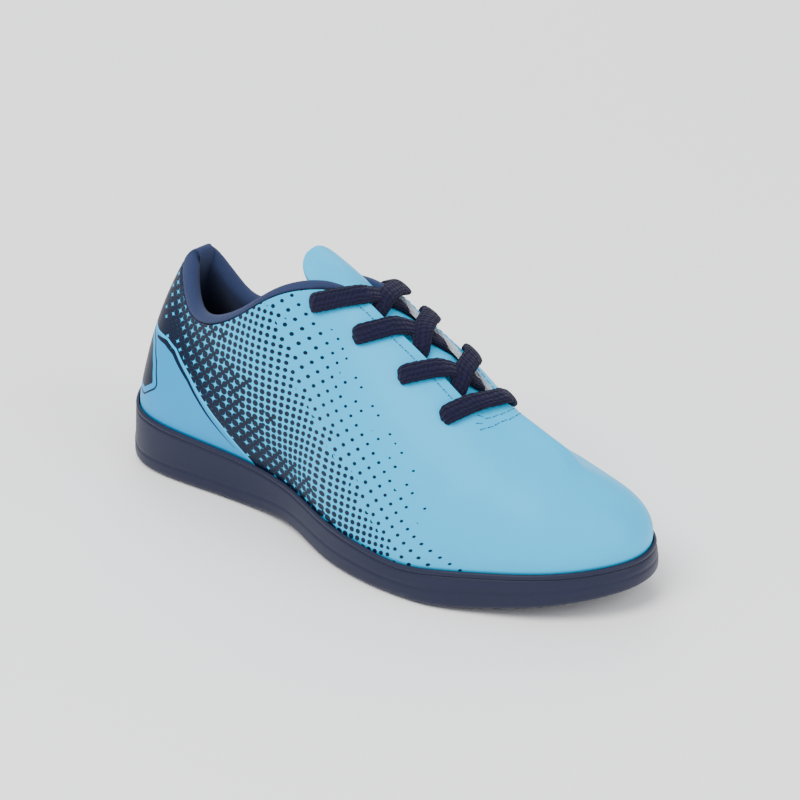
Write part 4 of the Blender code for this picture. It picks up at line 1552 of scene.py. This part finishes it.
def over_edge(edge_row, eyelet, medial, lift, sizes):
    """Run over a flap's edge at one row and back to the eyelet, then down through it."""
    edge = flap_point(edge_row, medial, 1.0, lift, sizes)
    hole = hole_points(eyelet, medial, edge_row, sizes)
    span = hole[0].place - edge.place
    out = unit(edge.out + hole[0].out)
    middle = (edge.place + hole[0].place) / 2 + out * (span @ span) / (8 * FLAP_BEND)
    return [edge, edge._replace(place=middle, out=out)] + hole


def strand(index, medial, sizes):
    """From one flap's eyelet, under its edge and across, to the other flap's eyelet a row up."""
    crossing = CROSSINGS[index - 1]
    lift = sizes.lace_thickness * (OVER_LIFT if medial else 0.0)
    points = under_points(EYELETS[index - 1], not medial, crossing.exit_row, sizes)
    for point in STRAND:
        row = crossing.exit_row + (crossing.edge_row - crossing.exit_row) * point.share
        across = point.across if medial else 1 - point.across
        height = sizes.lace_thickness / 2 + point.lift * lift + point.rise * sizes.upper_wall
        points.append(over_throat(row, across, height, point.width, sizes))
    lift = CROSSING_LIFT + lift * LIFT_AT_EDGE
    return points + over_edge(crossing.edge_row, EYELETS[index], medial, lift, sizes)


def lace_way(sizes):
    """Whole way of the lace, from one top eyelet over the bar to the other top eyelet."""
    eyelet = EYELETS[0]
    bar = over_edge(BAR_ROW, eyelet, False, BAR_LIFT, sizes)[::-1]
    for row, across in zip(BAR_ROWS, BAR_SHARES):
        out = throat_normal(row, across)
        place = vamp_point(row, across) + out * (sizes.lace_thickness / 2 + BAR_LIFT)
        bar.append(LacePoint(place, out, sizes.lace_width, sizes.lace_thickness))
    bar += over_edge(BAR_ROW, eyelet, True, BAR_LIFT, sizes)
    first = []
    second = []
    for index in range(1, len(EYELETS)):
        first += strand(index, index % 2 == 1, sizes)
        second += strand(index, index % 2 == 0, sizes)
    return first[::-1] + bar + second


def broad_ways(places, outs):
    """Direction across the lace at each point, without a turn over from one to the next."""
    across = unit(np.cross(unit(np.gradient(places, axis=0)), outs))
    for i in range(1, len(across)):
        if across[i] @ across[i - 1] < 0:
            across[i] = -across[i]
    return across


def smooth_way(points, spacing):
    """Rounded way through the points, with evenly spaced places and blended widths."""
    places = np.array([point.place for point in points])
    across = broad_ways(places, np.array([point.out for point in points]))
    rest = np.array([[*side, point.width, point.thickness] for side, point in zip(across, points)])
    chords = np.linalg.norm(np.diff(places, axis=0), axis=1)
    times = np.concatenate([[0], np.cumsum(np.sqrt(chords))])
    slopes = np.gradient(places, times, axis=0)
    fine_places = []
    fine_rest = []
    for i, chord in enumerate(chords):
        count = max(2, int(round(chord / spacing)))
        span = times[i + 1] - times[i]
        for step in range(count):
            t = step / count
            h = np.array([2 * t ** 3 - 3 * t ** 2 + 1, t ** 3 - 2 * t ** 2 + t,
                          3 * t ** 2 - 2 * t ** 3, t ** 3 - t ** 2])
            fine_places.append(h[0] * places[i] + h[1] * span * slopes[i]
                               + h[2] * places[i + 1] + h[3] * span * slopes[i + 1])
            eased = t * t * (3 - 2 * t)
            fine_rest.append(rest[i] * (1 - eased) + rest[i + 1] * eased)
    fine_places.append(places[-1])
    fine_rest.append(rest[-1])
    return np.array(fine_places), np.array(fine_rest)


def lace_rings(places, rest):
    """Oval rings along the way; the braid's yarns stand out of each ring a little."""
    along = unit(np.gradient(places, axis=0))
    across = rest[:, :3] - along * np.sum(along * rest[:, :3], axis=1, keepdims=True)
    across = unit(across)
    normal = np.cross(across, along)
    distance = distances(places)
    turns = np.linspace(0, 2 * math.pi, LACE_SIDES, endpoint=False)
    cosine = np.cos(turns)
    sine = np.sin(turns)
    broad = np.sign(cosine) * np.abs(cosine) ** BROAD_ROUND
    flat = np.sign(sine) * np.abs(sine) ** FLAT_ROUND
    rings = []
    for i in range(len(places)):
        wave = distance[i] / BRAID_LENGTH * math.pi + np.abs(turns - math.pi) * BRAID_SLANT
        braid = BRAID_DEPTH * np.sin(wave) * (rest[i, 4] / rest[:, 4].max())
        wide = broad * (rest[i, 3] / 2 + braid)
        thick = flat * (rest[i, 4] / 2 + braid)
        rings.append(places[i] + wide[:, None] * across[i] + thick[:, None] * normal[i])
    return np.array(rings), distance


def build_laces(sizes, colours):
    places, rest = smooth_way(lace_way(sizes), LACE_RING)
    rings, distance = lace_rings(places, rest)
    closed = np.concatenate([rings, rings[:, :1]], axis=1)
    bm = grid(closed)
    around_lace = np.linspace(0, 1, closed.shape[1])
    braid_places = np.stack(np.meshgrid(distance, around_lace, indexing="ij"), -1)
    lay_uv(bm, "Braid", braid_places.reshape(-1, 2))
    close_up(bm)
    lace = finish_piece("lace", bm, lace_finish(sizes, colours), sharp=180)
    hand_over(lace, "laces", *[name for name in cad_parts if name.startswith("lace")])


# Stitches

STITCH_ROWS = (5.9, 9.2)
STITCH_INSET = 0.0030
STITCH_PLACES = 400
MEASURED_SHARE = 0.2
StitchPoint = namedtuple("StitchPoint", "row across")
VAMP_STITCHES = (
    (
        StitchPoint(9.38, -0.01), StitchPoint(9.75, 0.0), StitchPoint(9.93, 0.3),
        StitchPoint(9.86, 0.6), StitchPoint(9.75, 0.8),
    ),
    (StitchPoint(9.50, -0.035), StitchPoint(9.75, -0.02)),
    (
        StitchPoint(9.74, -0.047), StitchPoint(10.04, -0.01), StitchPoint(10.15, 0.3),
        StitchPoint(10.10, 0.55), StitchPoint(9.98, 0.8),
    ),
)
VAMP_PLACES = 120
STITCH_LENGTH = 0.72
THREAD_RADIUS = 0.00020
THREAD_FLATNESS = 0.9
THREAD_RISE = 0.35
# Sizes of the dark bead of painted shade at each needle hole
NEEDLE_HOLE = 0.00024
HOLE_DEPTH = 0.5
HOLE_LENGTH = 1.5
BEAD_SIDES = 8
BEAD_RINGS = 5


def flap_stitches(medial):
    """Places and outward directions of one row of stitches, a fixed way in from the edge."""
    knots = knot_of(np.linspace(*STITCH_ROWS, STITCH_PLACES), medial)
    edge = wall_point(knots, np.ones(knots.shape))
    below = wall_point(knots, np.full(knots.shape, 1 - MEASURED_SHARE))
    reach = np.linalg.norm(edge - below, axis=-1) / MEASURED_SHARE
    heights = 1 - STITCH_INSET / reach
    return wall_point(knots, heights), -inward(knots, heights)


def vamp_stitches(line):
    """Places and outward directions of stitches over the vamp in front of the throat."""
    steps = np.linspace(0, len(line) - 1, VAMP_PLACES)
    rows, shares = [np.interp(steps, range(len(line)), values) for values in zip(*line)]
    places = np.array([vamp_point(row, share) for row, share in zip(rows, shares)])
    return places, np.array([throat_normal(row, share) for row, share in zip(rows, shares)])


def vector_at(place, distance, vectors):
    """Vector at a place along the way, between those given at the distances."""
    return np.array([np.interp(place, distance, axis) for axis in vectors.T])


def sew(bm, places, normals, sizes):
    """Lay stitches one after another along the places, each from a dark bead of painted shade at its
    needle hole.
    """
    distance = distances(places)
    margin = (1 - STITCH_LENGTH) / 2
    for i in range(int(distance[-1] / sizes.stitch_pitch)):
        first = (i + margin) * sizes.stitch_pitch
        start = vector_at(first, distance, places)
        end = vector_at(first + STITCH_LENGTH * sizes.stitch_pitch, distance, places)
        out = unit(vector_at(first, distance, normals))
        along = unit(end - start)
        side = np.cross(out, along)
        thick = out * THREAD_RADIUS
        half = (end - start) / 2
        turn = np.transpose([side * THREAD_RADIUS, thick * THREAD_FLATNESS, half])
        add_bead(bm, start + half + thick * THREAD_RISE, turn, 0)
        # A dark bead at the stitch's start is painted shade standing in for the needle hole's recess.
        hole = np.transpose([side, out * HOLE_DEPTH, along * HOLE_LENGTH]) * NEEDLE_HOLE
        add_bead(bm, start, hole, 1)


def add_bead(bm, middle, turn, material):
    bead = bmesh.ops.create_uvsphere(bm, u_segments=BEAD_SIDES, v_segments=BEAD_RINGS, radius=1.0)
    for vertex in bead["verts"]:
        vertex.co = middle + turn @ np.array(vertex.co)
        for face in vertex.link_faces:
            face.material_index = material


def build_stitches(sizes, colours):
    bm = bmesh.new()
    rows = [flap_stitches(medial) for medial in (False, True)]
    rows += [vamp_stitches(line) for line in VAMP_STITCHES]
    for places, normals in rows:
        sew(bm, places, normals, sizes)
    thread = thread_finish("sewing_thread", colours.thread)
    # The navy ink colour serves here as painted shade in the needle holes.
    hole_shade = thread_finish("needle_hole_shade", colours.ink)
    stitches = finish_piece("stitches", bm, thread, hole_shade, sharp=180)
    hand_over(stitches, "upper")


# Stage

CAMERA_TARGET = (0.0593, 0.0139, 0.035)
CAMERA_AZIMUTH = 43.4
CAMERA_ELEVATION = 25.9
CAMERA_DISTANCE = 1.7
CAMERA_LENS = 236.7
CAMERA_SENSOR = 36.0
FLOOR_REACH = 3.0
Lamp = namedtuple("Lamp", "name place size power")
LAMPS = (
    Lamp("key", (0.10, -0.75, 1.15), 0.9, 17.5),
    Lamp("fill", (1.10, 0.15, 0.65), 0.9, 6.0),
    Lamp("rim", (-0.70, 0.75, 0.80), 0.8, 7.0),
)
SKY_COLOUR = (0.92, 0.95, 1.0, 1.0)
SKY_STRENGTH = 0.93


def build_stage(colours):
    bm = bmesh.new()
    bmesh.ops.create_grid(bm, x_segments=1, y_segments=1, size=FLOOR_REACH)
    floor = finish_piece("studio_floor", bm, floor_finish(colours))
    for lamp in LAMPS:
        add_lamp(lamp)
    world = bpy.data.worlds.new("studio")
    world.use_nodes = True
    backdrop = world.node_tree.nodes["Background"]
    backdrop.inputs["Color"].default_value = SKY_COLOUR
    backdrop.inputs["Strength"].default_value = SKY_STRENGTH
    bpy.context.scene.world = world
    add_camera()


def aim(thing, target):
    way = np.array(target) - np.array(thing.location)
    flat = math.hypot(way[0], way[1])
    thing.rotation_euler = (math.atan2(flat, -way[2]), 0.0, math.atan2(-way[0], way[1]))


def add_lamp(lamp):
    disk = bpy.data.lights.new(lamp.name, "AREA")
    disk.shape = "DISK"
    disk.size = lamp.size
    disk.energy = lamp.power
    light = add_object(lamp.name, disk)
    light.location = lamp.place
    aim(light, CAMERA_TARGET)


def add_camera():
    lens = bpy.data.cameras.new("photo_view")
    lens.lens = CAMERA_LENS
    lens.sensor_width = CAMERA_SENSOR
    lens.clip_start = 0.05
    camera = add_object("photo_view", lens)
    azimuth = math.radians(CAMERA_AZIMUTH)
    elevation = math.radians(CAMERA_ELEVATION)
    level = np.array([math.sin(azimuth), -math.cos(azimuth), 0.0])
    way = level * math.cos(elevation) + UP * math.sin(elevation)
    camera.location = np.array(CAMERA_TARGET) + way * CAMERA_DISTANCE
    aim(camera, CAMERA_TARGET)
    bpy.context.scene.camera = camera


# Operators and panel

def settings():
    scene = bpy.context.scene
    return scene.shoe_sizes, scene.shoe_colours


class SHOE_OT_sole(bpy.types.Operator):
    """Build the moulded rubber sole with its bead and tread"""

    bl_idname = "shoe.sole"
    bl_label = "Sole"

    def execute(self, context):
        build_sole(settings()[1])
        return {"FINISHED"}


class SHOE_OT_insole(bpy.types.Operator):
    """Build the cloth-covered insole"""

    bl_idname = "shoe.insole"
    bl_label = "Insole"

    def execute(self, context):
        build_insole(*settings())
        return {"FINISHED"}


class SHOE_OT_upper(bpy.types.Operator):
    """Build the printed upper with its eyelets and backing"""

    bl_idname = "shoe.upper"
    bl_label = "Upper"

    def execute(self, context):
        build_upper(*settings())
        return {"FINISHED"}


class SHOE_OT_collar(bpy.types.Operator):
    """Build the padded collar and its lining"""

    bl_idname = "shoe.collar"
    bl_label = "Collar"

    def execute(self, context):
        build_collar(*settings())
        return {"FINISHED"}


class SHOE_OT_tongue(bpy.types.Operator):
    """Build the tongue"""

    bl_idname = "shoe.tongue"
    bl_label = "Tongue"

    def execute(self, context):
        build_tongue(*settings())
        return {"FINISHED"}


class SHOE_OT_laces(bpy.types.Operator):
    """Run the flat lace through the eyelets"""

    bl_idname = "shoe.laces"
    bl_label = "Laces"

    def execute(self, context):
        build_laces(*settings())
        return {"FINISHED"}


class SHOE_OT_stitches(bpy.types.Operator):
    """Sew the rows of stitches along the flaps"""

    bl_idname = "shoe.stitches"
    bl_label = "Stitches"

    def execute(self, context):
        build_stitches(*settings())
        return {"FINISHED"}


class SHOE_OT_stage(bpy.types.Operator):
    """Set up the floor, the lights and the camera"""

    bl_idname = "shoe.stage"
    bl_label = "Stage"

    def execute(self, context):
        build_stage(settings()[1])
        return {"FINISHED"}


PIECES = (
    SHOE_OT_sole, SHOE_OT_insole, SHOE_OT_upper, SHOE_OT_collar, SHOE_OT_tongue, SHOE_OT_laces,
    SHOE_OT_stitches, SHOE_OT_stage,
)


class SHOE_PT_panel(bpy.types.Panel):
    """Lists the shoe's pieces, sizes and colours"""

    bl_idname = "SHOE_PT_panel"
    bl_label = "Shoe"
    bl_space_type = "VIEW_3D"
    bl_region_type = "UI"
    bl_category = "Shoe"

    def draw(self, context):
        for piece in PIECES:
            self.layout.operator(piece.bl_idname)
        for group in settings():
            for name in group.__annotations__:
                self.layout.prop(group, name)


CLASSES = (ShoeSizes, ShoeColours) + PIECES + (SHOE_PT_panel,)


def register():
    for item in CLASSES:
        bpy.utils.register_class(item)
    bpy.types.Scene.shoe_sizes = PointerProperty(type=ShoeSizes)
    bpy.types.Scene.shoe_colours = PointerProperty(type=ShoeColours)


def unregister():
    del bpy.types.Scene.shoe_colours
    del bpy.types.Scene.shoe_sizes
    for item in reversed(CLASSES):
        bpy.utils.unregister_class(item)


def main():
    register()
    bpy.ops.shoe.stage()
    bpy.ops.shoe.sole()
    bpy.ops.shoe.insole()
    bpy.ops.shoe.upper()
    bpy.ops.shoe.collar()
    bpy.ops.shoe.tongue()
    bpy.ops.shoe.laces()
    bpy.ops.shoe.stitches()


if __name__ == "__main__":
    main()
